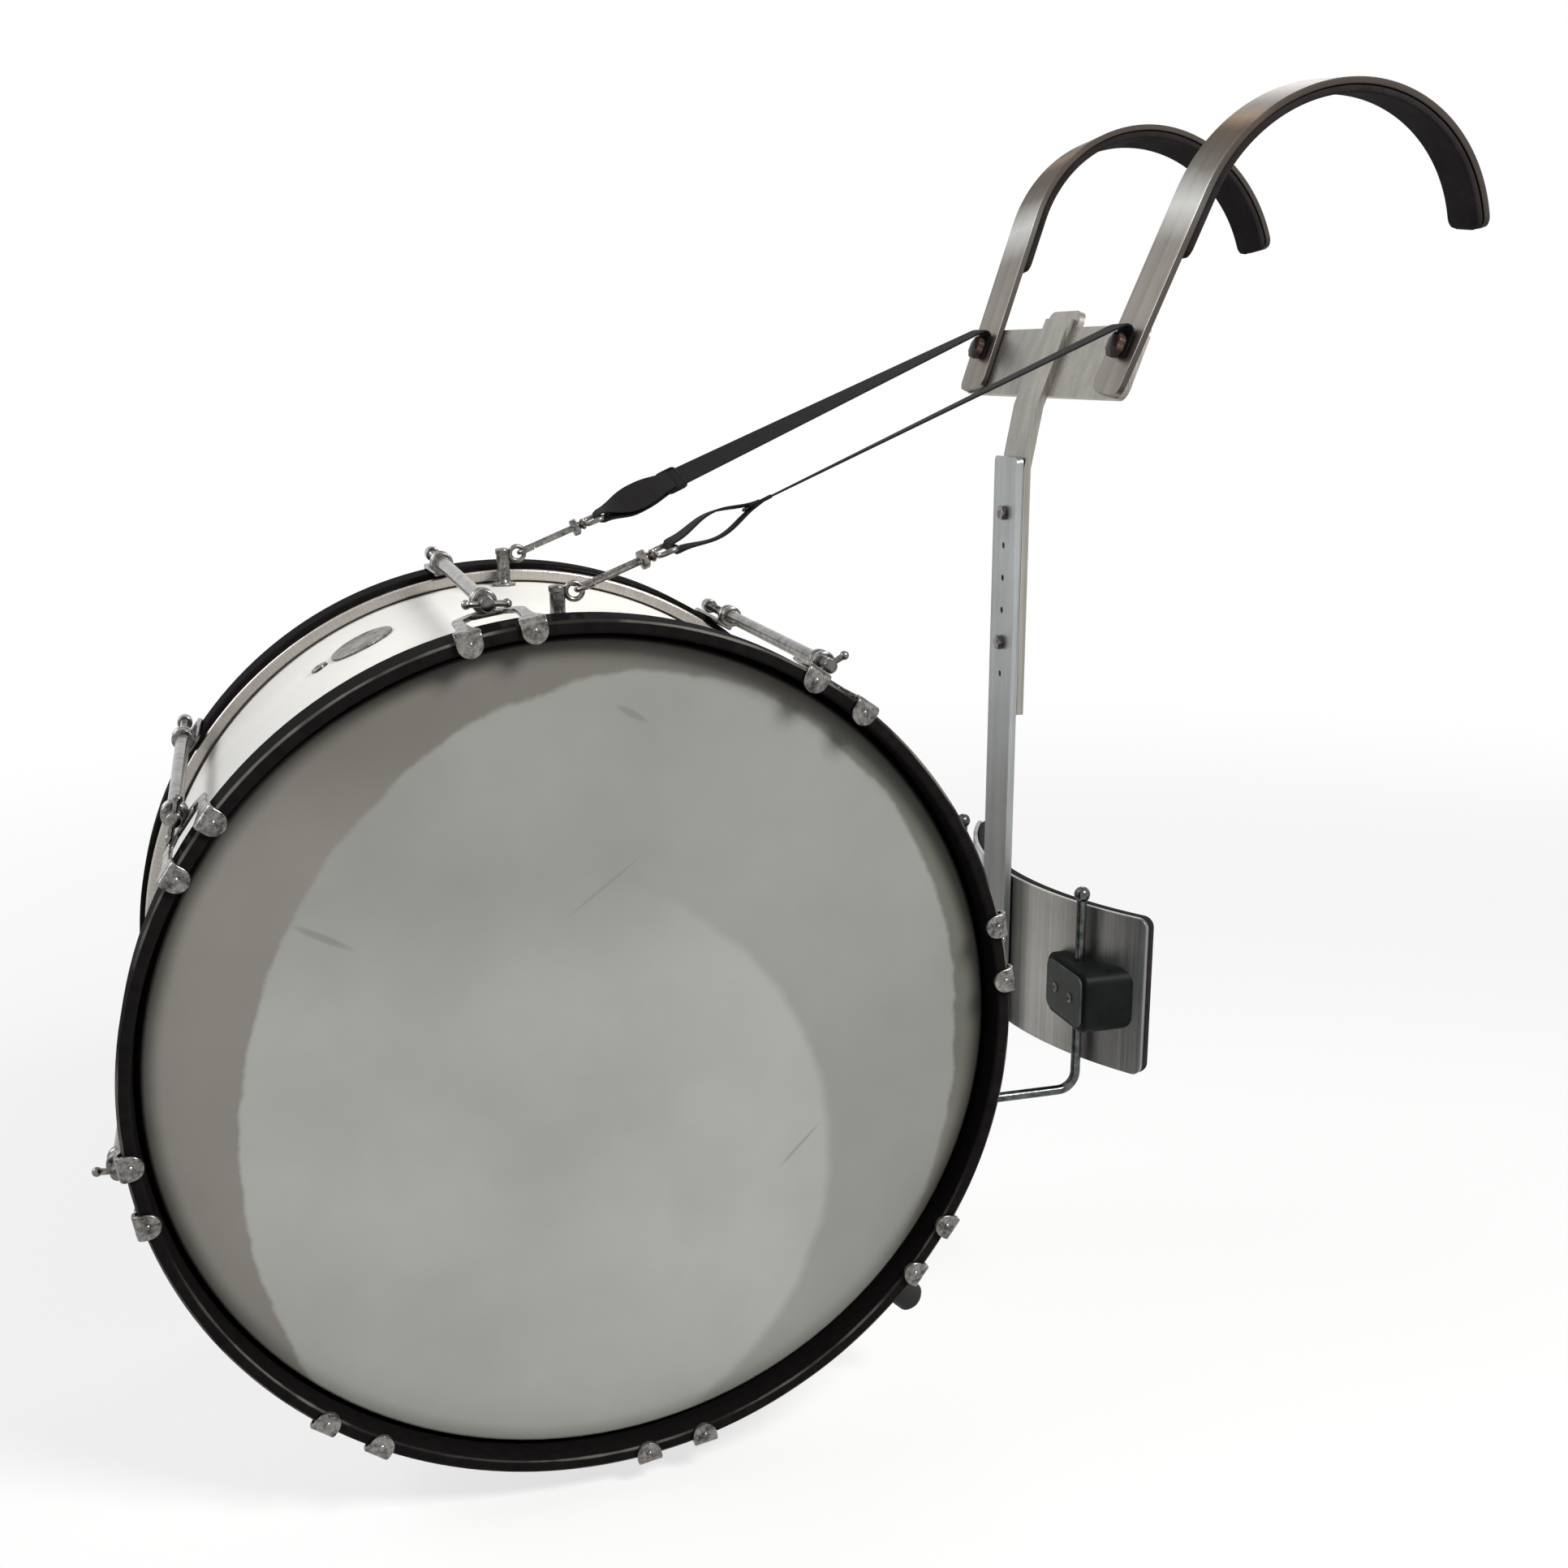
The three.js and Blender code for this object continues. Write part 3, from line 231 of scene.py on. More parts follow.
def rounded(corners, radius, steps=5, closed=True):
    """Corners with each turned into an arc that touches its two sides.

    The arc's centre lies on the corner's bisector at radius / sin(half angle), and its ends radius / tan(half angle)
    down each side. A radius that doesn't fit is made smaller. Works in two or three dimensions.
    """
    p = np.asarray(corners, float)
    r = np.broadcast_to(np.asarray(radius, float), len(p)).copy()
    if not closed:
        r[[0, -1]] = 0
    back, on = np.roll(p, 1, 0) - p, np.roll(p, -1, 0) - p
    room = np.minimum(np.linalg.norm(back, axis=1), np.linalg.norm(on, axis=1)) * 0.499
    back, on = unit(back), unit(on)
    half = np.arccos(np.clip((back * on).sum(1), -1, 1)) / 2
    half = np.clip(half, 1e-4, math.pi / 2 - 1e-4)
    setback = np.minimum(r / np.tan(half), room)
    r = setback * np.tan(half)
    start, end = p + back * setback[:, None], p + on * setback[:, None]
    centre = p + unit(back + on) * (r / np.sin(half))[:, None]
    sweep = math.pi - 2 * half
    share = np.linspace(0, 1, steps + 1)[None, :, None]
    a, b = (start - centre)[:, None], (end - centre)[:, None]
    s = sweep[:, None, None]
    spoke = (np.sin((1 - share) * s) * a + np.sin(share * s) * b) / np.maximum(np.sin(s), 1e-9)
    arc = np.where(r[:, None, None] > 1e-9, centre[:, None] + spoke, p[:, None])
    out = arc.reshape(-1, p.shape[1])
    step = np.linalg.norm(out - np.roll(out, 1, 0), axis=1) > 1e-7
    if not closed:
        step[0] = True
    return out[step]


def evenly(path, spacing, closed=False):
    """Points along a line at equal distances, by running length."""
    line = np.vstack([path, path[:1]]) if closed else np.asarray(path, float)
    run = running(line)
    count = max(int(round(run[-1] / spacing)), 3)
    at = np.linspace(0, run[-1], count + 1)
    if closed:
        at = at[:-1]
    return np.stack([np.interp(at, run, line[:, k]) for k in range(line.shape[1])], 1)


def running(path):
    """Distance from the start of a line to each of its points."""
    return np.concatenate([[0], np.cumsum(np.linalg.norm(np.diff(path, axis=0), axis=1))])


def ring(count, radius=1.0):
    """Points round a circle, as [across, out]."""
    turn = np.arange(count) * 2 * math.pi / count
    return np.stack([np.cos(turn), np.sin(turn)], 1) * radius


def loft(rings, start=None, end=None, closed=False, uv=None):
    """A closed skin over rings of points.

    Point j of ring i is rings[i, j]. Quads join each ring to the next and each point to the next round it. A start or
    end point shuts that end with a fan, and closed joins the last ring to the first. The UV map holds metres: the
    length along the rings and round them, or what uv gives for each point. Faces are turned outwards by the sign of
    the volume they hold.
    """
    n, m = rings.shape[:2]
    i, j = np.meshgrid(np.arange(n if closed else n - 1), np.arange(m), indexing="ij")
    i, j = i.ravel(), j.ravel()
    i1, j1 = (i + 1) % n, (j + 1) % m
    quads = np.stack([i * m + j, i1 * m + j, i1 * m + j1, i * m + j1], 1)
    if uv is None:
        middle = rings[n // 2]
        along = running(np.vstack([rings.mean(1), rings.mean(1)[:1]]))
        if along[n - 1] < 1e-4:
            along = running(np.vstack([rings[:, 0], rings[:1, 0]]))
        around = running(np.vstack([middle, middle[:1]]))
        corners = ((i, j), (i + 1, j), (i + 1, j + 1), (i, j + 1))
        quad_uv = np.stack([np.stack([along[a], around[b]], 1) for a, b in corners], 1)
        uv = np.stack(np.broadcast_arrays(along[:n, None], around[None, :m]), -1)
    else:
        quad_uv = np.stack([uv[i, j], uv[i1, j], uv[i1, j1], uv[i, j1]], 1)
    verts, tris, tri_uv = [rings.reshape(-1, 3)], [], []
    count = n * m
    here = np.arange(m)
    there = (here + 1) % m
    for pole, row, turn in ((start, 0, 1), (end, n - 1, -1)):
        if pole is None:
            continue
        verts.append(np.reshape(pole, (1, 3)))
        fan = np.stack([np.full(m, count), row * m + here, row * m + there], 1)
        fan_uv = np.stack([np.broadcast_to(uv[row].mean(0), (m, 2)), uv[row, here], uv[row, there]], 1)
        tris.append(fan[:, ::turn])
        tri_uv.append(fan_uv[:, ::turn])
        count += 1
    return outward(np.vstack(verts), quads, quad_uv, tris, tri_uv)


def outward(verts, quads, quad_uv, tris, tri_uv):
    """A part whose faces point away from what they close in, as (vertices, quads, their UVs, triangles, their UVs)."""
    tris = np.vstack(tris) if len(tris) else np.zeros((0, 3), int)
    tri_uv = np.concatenate(tri_uv) if len(tri_uv) else np.zeros((0, 3, 2))
    both = np.vstack([quads[:, [0, 1, 2]], quads[:, [0, 2, 3]], tris])
    a, b, c = (verts[both[:, k]] - verts.mean(0) for k in range(3))
    if (a * np.cross(b, c)).sum() < 0:
        quads, quad_uv, tris, tri_uv = quads[:, ::-1], quad_uv[:, ::-1], tris[:, ::-1], tri_uv[:, ::-1]
    return verts, quads, quad_uv, tris, tri_uv


def spokes(axis, count):
    """An axis at unit length, and directions square to it, evenly round it."""
    axis = unit(np.asarray(axis, float))
    first = unit(np.cross(axis, X if abs(axis[0]) < 0.9 else Y))
    c = ring(count)
    return axis, c[:, :1] * first + c[:, 1:] * np.cross(axis, first)


def turned(profile, origin=(0, 0, 0), axis=Z, segments=48, closed=False):
    """A profile of [radius, height] turned about an axis: point = origin + height * axis + radius * spoke.

    An open profile is shut by a point on the axis at each end.
    """
    profile, origin = np.asarray(profile, float), np.asarray(origin, float)
    axis, out = spokes(axis, segments)
    rings = profile[:, None, :1] * out[None] + profile[:, None, 1:] * axis + origin
    if closed:
        return loft(rings, closed=True)
    return loft(rings, origin + axis * profile[0, 1], origin + axis * profile[-1, 1])


def sides(path, hint, closed=False):
    """For each point of a path, the direction across it nearest to the hint, and the direction square to both."""
    tangent = unit(np.roll(path, -1, 0) - np.roll(path, 1, 0) if closed else np.gradient(path, axis=0))
    hint = np.broadcast_to(np.asarray(hint, float), path.shape)
    side = unit(hint - (hint * tangent).sum(1, keepdims=True) * tangent)
    return side, np.cross(tangent, side)


def swept(path, section, hint, closed=False, flat=False):
    """A section of [across, out] carried along a path: point = path + across * side + out * normal.

    The section may differ at each point of the path. The side is the part of the hint square to the path.
    """
    section = np.broadcast_to(section, (len(path), *np.shape(section)[-2:]))
    side, normal = sides(path, hint, closed)
    rings = path[:, None] + section[..., :1] * side[:, None] + section[..., 1:] * normal[:, None]
    uv = None
    if flat:
        uv = np.stack([np.broadcast_to(running(path)[:, None], section.shape[:2]), section[..., 0]], -1)
    if closed:
        return loft(rings, closed=True, uv=uv)
    return loft(rings, path[0], path[-1], uv=uv)


def wire(path, radius, hint=Y, segments=12, closed=False):
    """A round wire along a path."""
    return swept(path, ring(segments, radius), hint, closed)


def strip_section(half_width, half_thick, edge, steps=3):
    """A rectangle with round corners, for each pair of half sizes: corner sign * (half size - edge) + edge * arc."""
    half_width = np.atleast_1d(half_width)[:, None]
    half_thick = np.atleast_1d(half_thick)[:, None]
    quarter = np.linspace(0, math.pi / 2, steps + 1)
    turn = (np.arange(4)[:, None] * math.pi / 2 + quarter).ravel()
    corner = np.repeat([[1, 1], [-1, 1], [-1, -1], [1, -1]], steps + 1, 0)
    width_edge, thick_edge = np.minimum(edge, half_width), np.minimum(edge, half_thick)
    across = corner[:, 0] * (half_width - width_edge) + width_edge * np.cos(turn)
    out = corner[:, 1] * (half_thick - thick_edge) + thick_edge * np.sin(turn)
    return np.stack(np.broadcast_arrays(across, out), -1)


def end_round(run, radius, end=True):
    """How much a strip's half width shrinks near its ends, so that its corners are quarter circles."""
    distance = np.minimum(run, run[-1] - run) if end else run
    inside = np.clip(radius - distance, 0, radius)
    return radius - np.sqrt(np.maximum(radius**2 - inside**2, 0))


def box_outline(half_across, half_up, corner, steps=8, pitch=None):
    """A rounded rectangle round the origin, with its straight sides split at the pitch."""
    h, v = half_across, half_up
    line = rounded([[-h, -v], [h, -v], [h, v], [-h, v]], corner, steps)
    if pitch is None:
        return line
    after = np.roll(line, -1, 0)
    gaps = np.maximum(np.ceil(np.linalg.norm(after - line, axis=1) / pitch).astype(int), 1)
    owner = np.repeat(np.arange(len(line)), gaps)
    share = (np.arange(len(owner)) - np.repeat(np.cumsum(gaps) - gaps, gaps)) / gaps[owner]
    return line[owner] + (after - line)[owner] * share[:, None]


def outline_normals(line):
    """Directions out of a closed outline that runs anticlockwise."""
    run = unit(np.roll(line, -1, 0) - np.roll(line, 1, 0))
    return np.stack([run[:, 1], -run[:, 0]], 1)


def plate(line, low, high, edge, bend, inner=(1.0,), steps=3, crown=None):
    """A plate with round edges from a closed outline of [u, v], between two heights w.

    Rings shrink towards the middle on both faces: point = middle + (inset outline - middle) * share. The edge is two
    quarter circles, inset by edge * (1 - sin) at a height of edge * (1 - cos) from its face. A crown function of the
    share and the outline lifts the upper face. bend turns arrays of u, v and w into points.
    """
    middle = line.mean(0)
    inset = line - outline_normals(line) * edge
    shares = np.asarray(inner, float)
    faces = middle + (inset - middle) * shares[:, None, None]
    turn = np.linspace(0, math.pi / 2, steps + 1)[1:]
    rims = line - outline_normals(line) * (edge * (1 - np.sin(turn)))[:, None, None]
    rise = edge * (1 - np.cos(turn))
    lift = np.zeros(len(shares)) if crown is None else crown(shares)
    flat = np.concatenate([faces, rims, rims[::-1], faces[::-1]])
    w = np.concatenate([np.full(len(shares), low), low + rise, (high - rise)[::-1], (high + lift)[::-1]])
    w = np.broadcast_to(w[:, None], flat.shape[:2])
    top = high + (0 if crown is None else float(crown(np.zeros(1))[0]))
    poles = [bend(middle[0], middle[1], at) for at in (low, top)]
    return loft(bend(flat[..., 0], flat[..., 1], w), poles[0], poles[1], uv=flat)


def flat_bend(origin, across, up, out):
    """A bend that lays a plate flat: point = origin + u * across + v * up + w * out."""
    origin, across, up, out = (np.asarray(a, float) for a in (origin, across, up, out))

    def bend(u, v, w):
        u, v, w = (np.asarray(a, float)[..., None] for a in (u, v, w))
        return origin + u * across + v * up + w * out

    return bend


def moved(part, change):
    """A part with its vertices passed through a function, and its faces turned outwards again."""
    verts, quads, quad_uv, tris, tri_uv = part
    return outward(change(verts), quads, quad_uv, [tris], [tri_uv])


def station(index, sizes):
    """The change of place for a tension station."""
    return round_shell(sizes.first_station + index * 2 * math.pi / len(STATIONS))


def round_shell(at):
    """A function that turns [round, along, out] points at an angle round the drum into points about its centre."""
    basis = np.array([[math.sin(at), 0, -math.cos(at)], Y, [math.cos(at), 0, math.sin(at)]])
    return lambda points: np.asarray(points) @ basis


def piece(name, parts, finish, body, stands_for=()):
    """Parts joined into one object, in place in the frame, riding on its body. Edges over 40 degrees stay sharp."""
    verts = np.vstack([part[0] for part in parts]) + DRUM_CENTRE
    starts = np.cumsum([0] + [len(part[0]) for part in parts[:-1]])
    quads = np.vstack([part[1] + s for part, s in zip(parts, starts)])
    tris = np.vstack([part[3] + s for part, s in zip(parts, starts)])
    corners = np.concatenate([quads.ravel(), tris.ravel()])
    sizes = np.repeat([4, 3], [len(quads), len(tris)])
    uv = np.concatenate([np.concatenate([part[2] for part in parts]).reshape(-1, 2),
                         np.concatenate([part[4] for part in parts]).reshape(-1, 2)])
    mesh = bpy.data.meshes.new(name)
    mesh.vertices.add(len(verts))
    mesh.vertices.foreach_set("co", verts.astype(np.float32).ravel())
    mesh.loops.add(len(corners))
    mesh.loops.foreach_set("vertex_index", corners.astype(np.int32))
    mesh.polygons.add(len(sizes))
    mesh.polygons.foreach_set("loop_start", (np.cumsum(sizes) - sizes).astype(np.int32))
    mesh.polygons.foreach_set("use_smooth", np.ones(len(sizes), bool))
    layer = mesh.uv_layers.new(name="UVMap")
    mesh.update(calc_edges=True)
    layer.data.foreach_set("uv", uv.astype(np.float32).ravel())
    if mesh.validate():
        raise RuntimeError(f"{name} has faces that can't be drawn")
    mesh.set_sharp_from_angle(angle=math.radians(40))
    mesh.materials.append(finishes()[finish])
    made = bpy.data.objects.new(name, mesh)
    bpy.context.scene.collection.objects.link(made)
    made.modifiers.new("Flat faces stay flat", "WEIGHTED_NORMAL").keep_sharp = True
    if body:
        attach(made, body)
    if stands_for:
        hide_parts(*stands_for)
    return made


# Finishes


def connect(tree, node, key, value):
    """Sets an input of a node, or links another node's output to it."""
    if isinstance(value, bpy.types.NodeSocket):
        tree.links.new(value, node.inputs[key])
    else:
        node.inputs[key].default_value = value


def add_node(tree, kind, inputs=None, **settings):
    """A node with its settings and inputs."""
    node = tree.nodes.new("ShaderNode" + kind)
    for key, value in settings.items():
        setattr(node, key, value)
    for key, value in (inputs or {}).items():
        connect(tree, node, key, value)
    return node


class Finish:
    """A node material: a Principled shader, and short ways to add the nodes that feed it."""

    def __init__(self, name, colour_value, roughness, metallic=0.0, **sockets):
        self.material = bpy.data.materials.new(name)
        self.material.use_nodes = True
        self.tree = self.material.node_tree
        self.shader = self.tree.nodes["Principled BSDF"]
        self.base = tuple(colour_value)
        self.feed("Base Color", self.base)
        self.feed("Roughness", roughness)
        self.feed("Metallic", metallic)
        for key, value in sockets.items():
            self.feed(key.replace("_", " "), value)

    def feed(self, socket, value):
        """Sets a socket of the shader, or links a node's output to it."""
        connect(self.tree, self.shader, socket, value)

    def add(self, kind, inputs=None, **settings):
        """A node of this material."""
        return add_node(self.tree, kind, inputs, **settings)

    def place(self, source="Object", turn=(0, 0, 0), scale=(1, 1, 1)):
        """Coordinates, turned and then stretched."""
        at = self.add("TexCoord").outputs[source]
        return self.add("Mapping", {"Vector": at, "Rotation": turn, "Scale": scale}).outputs[0]

    def axis(self, index, source="Object"):
        """One coordinate of the three."""
        return self.add("SeparateXYZ", {0: self.add("TexCoord").outputs[source]}).outputs[index]

    def off_middle(self, index, source="Object"):
        """A coordinate without its sign."""
        return self.maths("ABSOLUTE", self.axis(index, source))

    def noise(self, scale, detail=3.0, rough=0.55, vector=None):
        """Smooth noise from 0 to 1, over the object's own coordinates if no others are given."""
        vector = self.place() if vector is None else vector
        inputs = {"Vector": vector, "Scale": scale, "Detail": detail, "Roughness": rough}
        return self.add("TexNoise", inputs).outputs["Fac"]

    def span(self, value, low, high, to_low=0.0, to_high=1.0, smooth=False):
        """A value moved from one range to another, and held inside it."""
        inputs = {"Value": value, "From Min": low, "From Max": high, "To Min": to_low, "To Max": to_high}
        return self.add("MapRange", inputs, interpolation_type="SMOOTHSTEP" if smooth else "LINEAR").outputs[0]

    def step(self, index, low, high, to_low=0.0, to_high=1.0, smooth=True):
        """A change along one axis, between two distances from the drum's centre."""
        centre = float(DRUM_CENTRE[index])
        return self.span(self.axis(index), centre + low, centre + high, to_low, to_high, smooth)

    def maths(self, kind, a, b=0.0, c=0.0):
        """One sum on values."""
        return self.add("Math", {0: a, 1: b, 2: c}, operation=kind).outputs[0]

    def times(self, a, b):
        """One value times another."""
        return self.maths("MULTIPLY", a, b)

    def weigh(self, *pairs):
        """The sum of value * weight over the pairs."""
        total = 0.0
        for value, weight in reversed(pairs):
            total = self.maths("MULTIPLY_ADD", value, weight, total)
        return total

    def blend(self, share, a, b, kind="MIX"):
        """Two colours mixed by a share."""
        return self.add("Mix", {0: share, 6: a, 7: b}, data_type="RGBA", blend_type=kind).outputs[2]

    def ramp(self, value, stops):
        """A value turned into a colour by stops of (place, colour)."""
        node = self.add("ValToRGB", {"Fac": value})
        while len(node.color_ramp.elements) < len(stops):
            node.color_ramp.elements.new(0.5)
        for element, (at, tone) in zip(node.color_ramp.elements, stops):
            element.position = at
            element.color = tone
        return node.outputs[0]

    def shade(self, share, low, high):
        """The base colour, made darker and lighter by a share from 0 to 1."""
        dark = tuple(c * low for c in self.base[:3]) + (1.0,)
        light = tuple(min(c * high, 1.0) for c in self.base[:3]) + (1.0,)
        return self.blend(share, dark, light)

    def spoke(self):
        """Distance from the drum's axis: the length of the object point with its y left out, from the drum's centre."""
        at = self.add("TexCoord").outputs["Object"]
        flat = self.add("Mapping", {"Vector": at, "Location": tuple(-DRUM_CENTRE), "Scale": (1, 0, 1)}).outputs[0]
        return self.add("VectorMath", {0: flat}, operation="LENGTH").outputs["Value"]

    def relief(self, height, strength, distance):
        """Bump from a height, on top of any set before."""
        inputs = {"Height": height, "Strength": strength, "Distance": distance}
        before = self.shader.inputs["Normal"].links
        if before:
            inputs["Normal"] = before[0].from_socket
        self.feed("Normal", self.add("Bump", inputs).outputs[0])


def wrap_finish(colours):
    """White wrap with a soft sheen: slight clouding, fine dust and a barely rippled face."""
    f = Finish("white_wrap", colours.wrap, 0.5, Specular_IOR_Level=0.25, Coat_Weight=0.04, Coat_Roughness=0.2)
    dust = f.span(f.noise(900.0, 2.0), 0.66, 0.74)
    tint = f.shade(f.span(f.noise(9.0, 4.0, 0.6), 0.3, 0.7), 0.93, 1.02)
    f.feed("Base Color", f.blend(f.times(dust, 0.25), tint, paint(170, 166, 160)))
    f.feed("Roughness", f.span(f.noise(45.0), 0.3, 0.7, 0.46, 0.58))
    f.relief(f.noise(14.0, 2.0), 0.12, 0.002)
    return f.material


def lacquer_finish(colours):
    """Black lacquer over wood: faint grain along the hoop, small scratches and a painted highlight line along two
    edges, the inner edge's only on the lower part of the hoop, where light from above would catch it.

    An edge lies where the distance off the drum's middle plus or minus the distance from its axis is a fixed sum.
    """
    f = Finish("black_lacquer", colours.hoop, 0.4, Specular_IOR_Level=0.0, Coat_Weight=0.035, Coat_Roughness=0.12)
    grain = f.noise(160.0, 4.0, 0.6, f.place("UV", scale=(3.0, 0.6, 1.0)))
    scratch = f.span(f.noise(70.0, 5.0, 0.7, f.place("UV", scale=(6.0, 1.0, 1.0))), 0.62, 0.72)
    tint = f.shade(f.span(grain, 0.3, 0.7), 0.75, 1.35)
    tint = f.blend(f.times(scratch, 0.3), tint, paint(60, 56, 54))
    sideways, spoke, rough = f.off_middle(1), f.spoke(), f.noise(26.0, 4.0)
    broken = f.span(f.noise(11.0, 3.0, 0.6), 0.42, 0.56, 0.1, 0.75)
    # The inner edge's painted highlight is kept to the lower part of the hoop.
    low = f.step(2, -0.2, -0.1, 0.9, 0.0, smooth=False)
    # Each pass paints a highlight line along one rounded edge, broken up by noise: the outer front edge, then the inner
    # front edge.
    for way, at, share in ((1, 0.51640, broken), (-1, -0.11330, f.times(low, broken))):
        corner = f.weigh((rough, 0.0010), (sideways, 1.0), (spoke, way))
        painted_light = f.span(corner, at - 0.0002, at + 0.0002)
        tint = f.blend(f.times(painted_light, share), tint, paint(112, 108, 103))
    f.feed("Base Color", tint)
    f.feed("Roughness", f.span(scratch, 0, 1, 0.36, 0.55))
    f.relief(grain, 0.08, 0.0004)
    return f.material


def film_finish(colours):
    """Coated head film: a lighter patch of painted light with a ragged edge, the light from the far head showing
    through; painted shade towards the top and near the hoop; a few scuffs and a fine sprayed grain.
    """
    f = Finish("head_film", colours.film, 0.55, Specular_IOR_Level=0.3)
    ragged = f.noise(16.0, 5.0, 0.62)
    fine = f.noise(2600.0, 2.0)

    def patch(x, z, half_a, half_b, degrees, soft, ragged_by):
        """1 inside an ellipse about (x, z) from the drum's centre, with an edge that the noise roughens."""
        inputs = {"Vector": f.add("TexCoord").outputs["Object"], "Location": tuple(DRUM_CENTRE + np.array([x, 0, z])),
                  "Rotation": (0, math.radians(degrees), 0), "Scale": (half_a, 1e6, half_b)}
        at = f.add("Mapping", inputs, vector_type="TEXTURE").outputs[0]
        far = f.add("VectorMath", {0: at}, operation="LENGTH").outputs["Value"]
        rough = f.maths("MULTIPLY_ADD", f.maths("SUBTRACT", ragged, 0.5), ragged_by, far)
        return f.span(rough, 1 - soft, 1 + soft, 1.0, 0.0, smooth=True)

    # The lighter patch is painted light: the light through the film from the far head, with a ragged edge.
    painted_light = patch(0.0187, -0.0345, 0.2622, 0.3145, 12.1, 0.008, 0.06)
    # The film outside the patch is painted darker towards the top, painted shade under the hoop, and darker on the side
    # towards the wearer from a little below the middle up.
    rim = f.blend(f.step(2, 0.17, 0.25), tuple(colours.film_rim), paint(106, 104, 97))
    rim = f.blend(f.times(f.step(0, 0.10, 0.25), f.step(2, -0.16, -0.02)), rim, paint(97, 98, 89))
    # A brighter spot of painted light inside the patch, fading out towards the top.
    light = f.times(patch(-0.078, -0.095, 0.260, 0.245, 0, 0.02, 0.05), f.step(2, 0.03, 0.15, 0.8, 0.0))
    tint = f.blend(painted_light, rim, f.base)
    tint = f.blend(f.times(light, painted_light), tint, paint(164, 165, 160))
    for x, z, half_a, half_b, degrees, share in (
        (-0.181, 0.108, 0.019, 0.0024, 28, 0.35),
        (0.036, 0.250, 0.011, 0.0024, 30, 0.35),
        (0.158, -0.089, 0.022, 0.0012, -45, 0.35),
        (0.013, 0.127, 0.030, 0.0012, -37, 0.25),
    ):
        scuff = patch(x, z, half_a, half_b, degrees, 0.4, 0.9)
        tint = f.blend(f.times(scuff, share), tint, paint(92, 90, 86))
    cloud = f.noise(5.0, 4.0, 0.6)
    tint = f.blend(f.span(cloud, 0.3, 0.7, 0.0, 0.22), tint, paint(120, 116, 112), "MULTIPLY")
    tint = f.blend(f.span(fine, 0.35, 0.65, 0.0, 0.1), tint, paint(90, 90, 88))
    # Painted shade near the hoop's inner edge, weaker towards the bottom.
    near_edge = f.span(f.maths("MULTIPLY_ADD", ragged, 0.004, f.spoke()), 0.292, 0.307, 0.0, 0.9, smooth=True)
    edge_shade = f.times(near_edge, f.step(2, -0.24, -0.12, 0.35, 1.0))
    f.feed("Base Color", f.blend(edge_shade, tint, paint(34, 29, 27)))
    f.feed("Roughness", f.span(ragged, 0.2, 0.8, 0.48, 0.62))
    f.relief(fine, 0.1, 0.0002)
    return f.material


def chrome_finish(colours):
    """Plated steel: cloudy plating and dark speckle, in part painted dark reflections, small pits and an uneven gloss.
    """
    f = Finish("chrome_plate", colours.chrome, 0.16, 1.0)
    cloud = f.noise(130.0, 4.0, 0.65)
    pits = f.span(f.noise(620.0, 3.0), 0.6, 0.7)
    speckle = f.noise(360.0, 3.0, 0.7)
    # The cloud and speckle make the plating darker and lighter in patches, in part painted reflection that stands in
    # for the dark surroundings it would mirror.
    tint = f.shade(f.span(f.weigh((speckle, 0.4), (cloud, 0.6)), 0.38, 0.60), 0.22, 1.25)
    f.feed("Base Color", f.blend(f.times(pits, 0.3), tint, paint(60, 58, 56)))
    f.feed("Roughness", f.span(cloud, 0.3, 0.7, 0.34, 0.16))
    f.relief(cloud, 0.25, 0.0006)
    f.relief(speckle, 0.2, 0.0003)
    return f.material


def tube_finish(name, tone):
    """Drawn tube and thread: rings left by the lathe and a mottled tone."""
    f = Finish(name, tone, 0.18, 1.0)
    rings = f.noise(900.0, 2.0, vector=f.place(scale=(0.05, 1.0, 0.05)))
    f.feed("Base Color", f.shade(f.span(f.noise(110.0, 4.0, 0.65), 0.36, 0.64), 0.34, 1.12))
    f.feed("Roughness", f.span(rings, 0.3, 0.7, 0.14, 0.3))
    f.relief(rings, 0.05, 0.0002)
    return f.material


def brushed(f, vector, height=0.08):
    """Brushing along the first axis of a vector: long thin noise in colour, gloss and height, over a soft cloud."""
    lines, broad = (
        f.noise(1.0, detail, vector=f.add("Mapping", {"Vector": vector, "Scale": (along, across, across)}).outputs[0])
        for along, across, detail in ((6.0, 1400.0, 4.0), (2.0, 90.0, 3.0))
    )
    share = f.weigh((lines, 0.45), (broad, 0.35), (f.noise(22.0, 4.0, 0.6, vector), 0.2))
    tint = f.shade(f.span(share, 0.36, 0.64), 0.66, 1.2)
    f.feed("Base Color", tint)
    f.feed("Roughness", f.span(lines, 0.3, 0.7, 0.28, 0.46))
    f.relief(lines, height, 0.0002)
    return tint


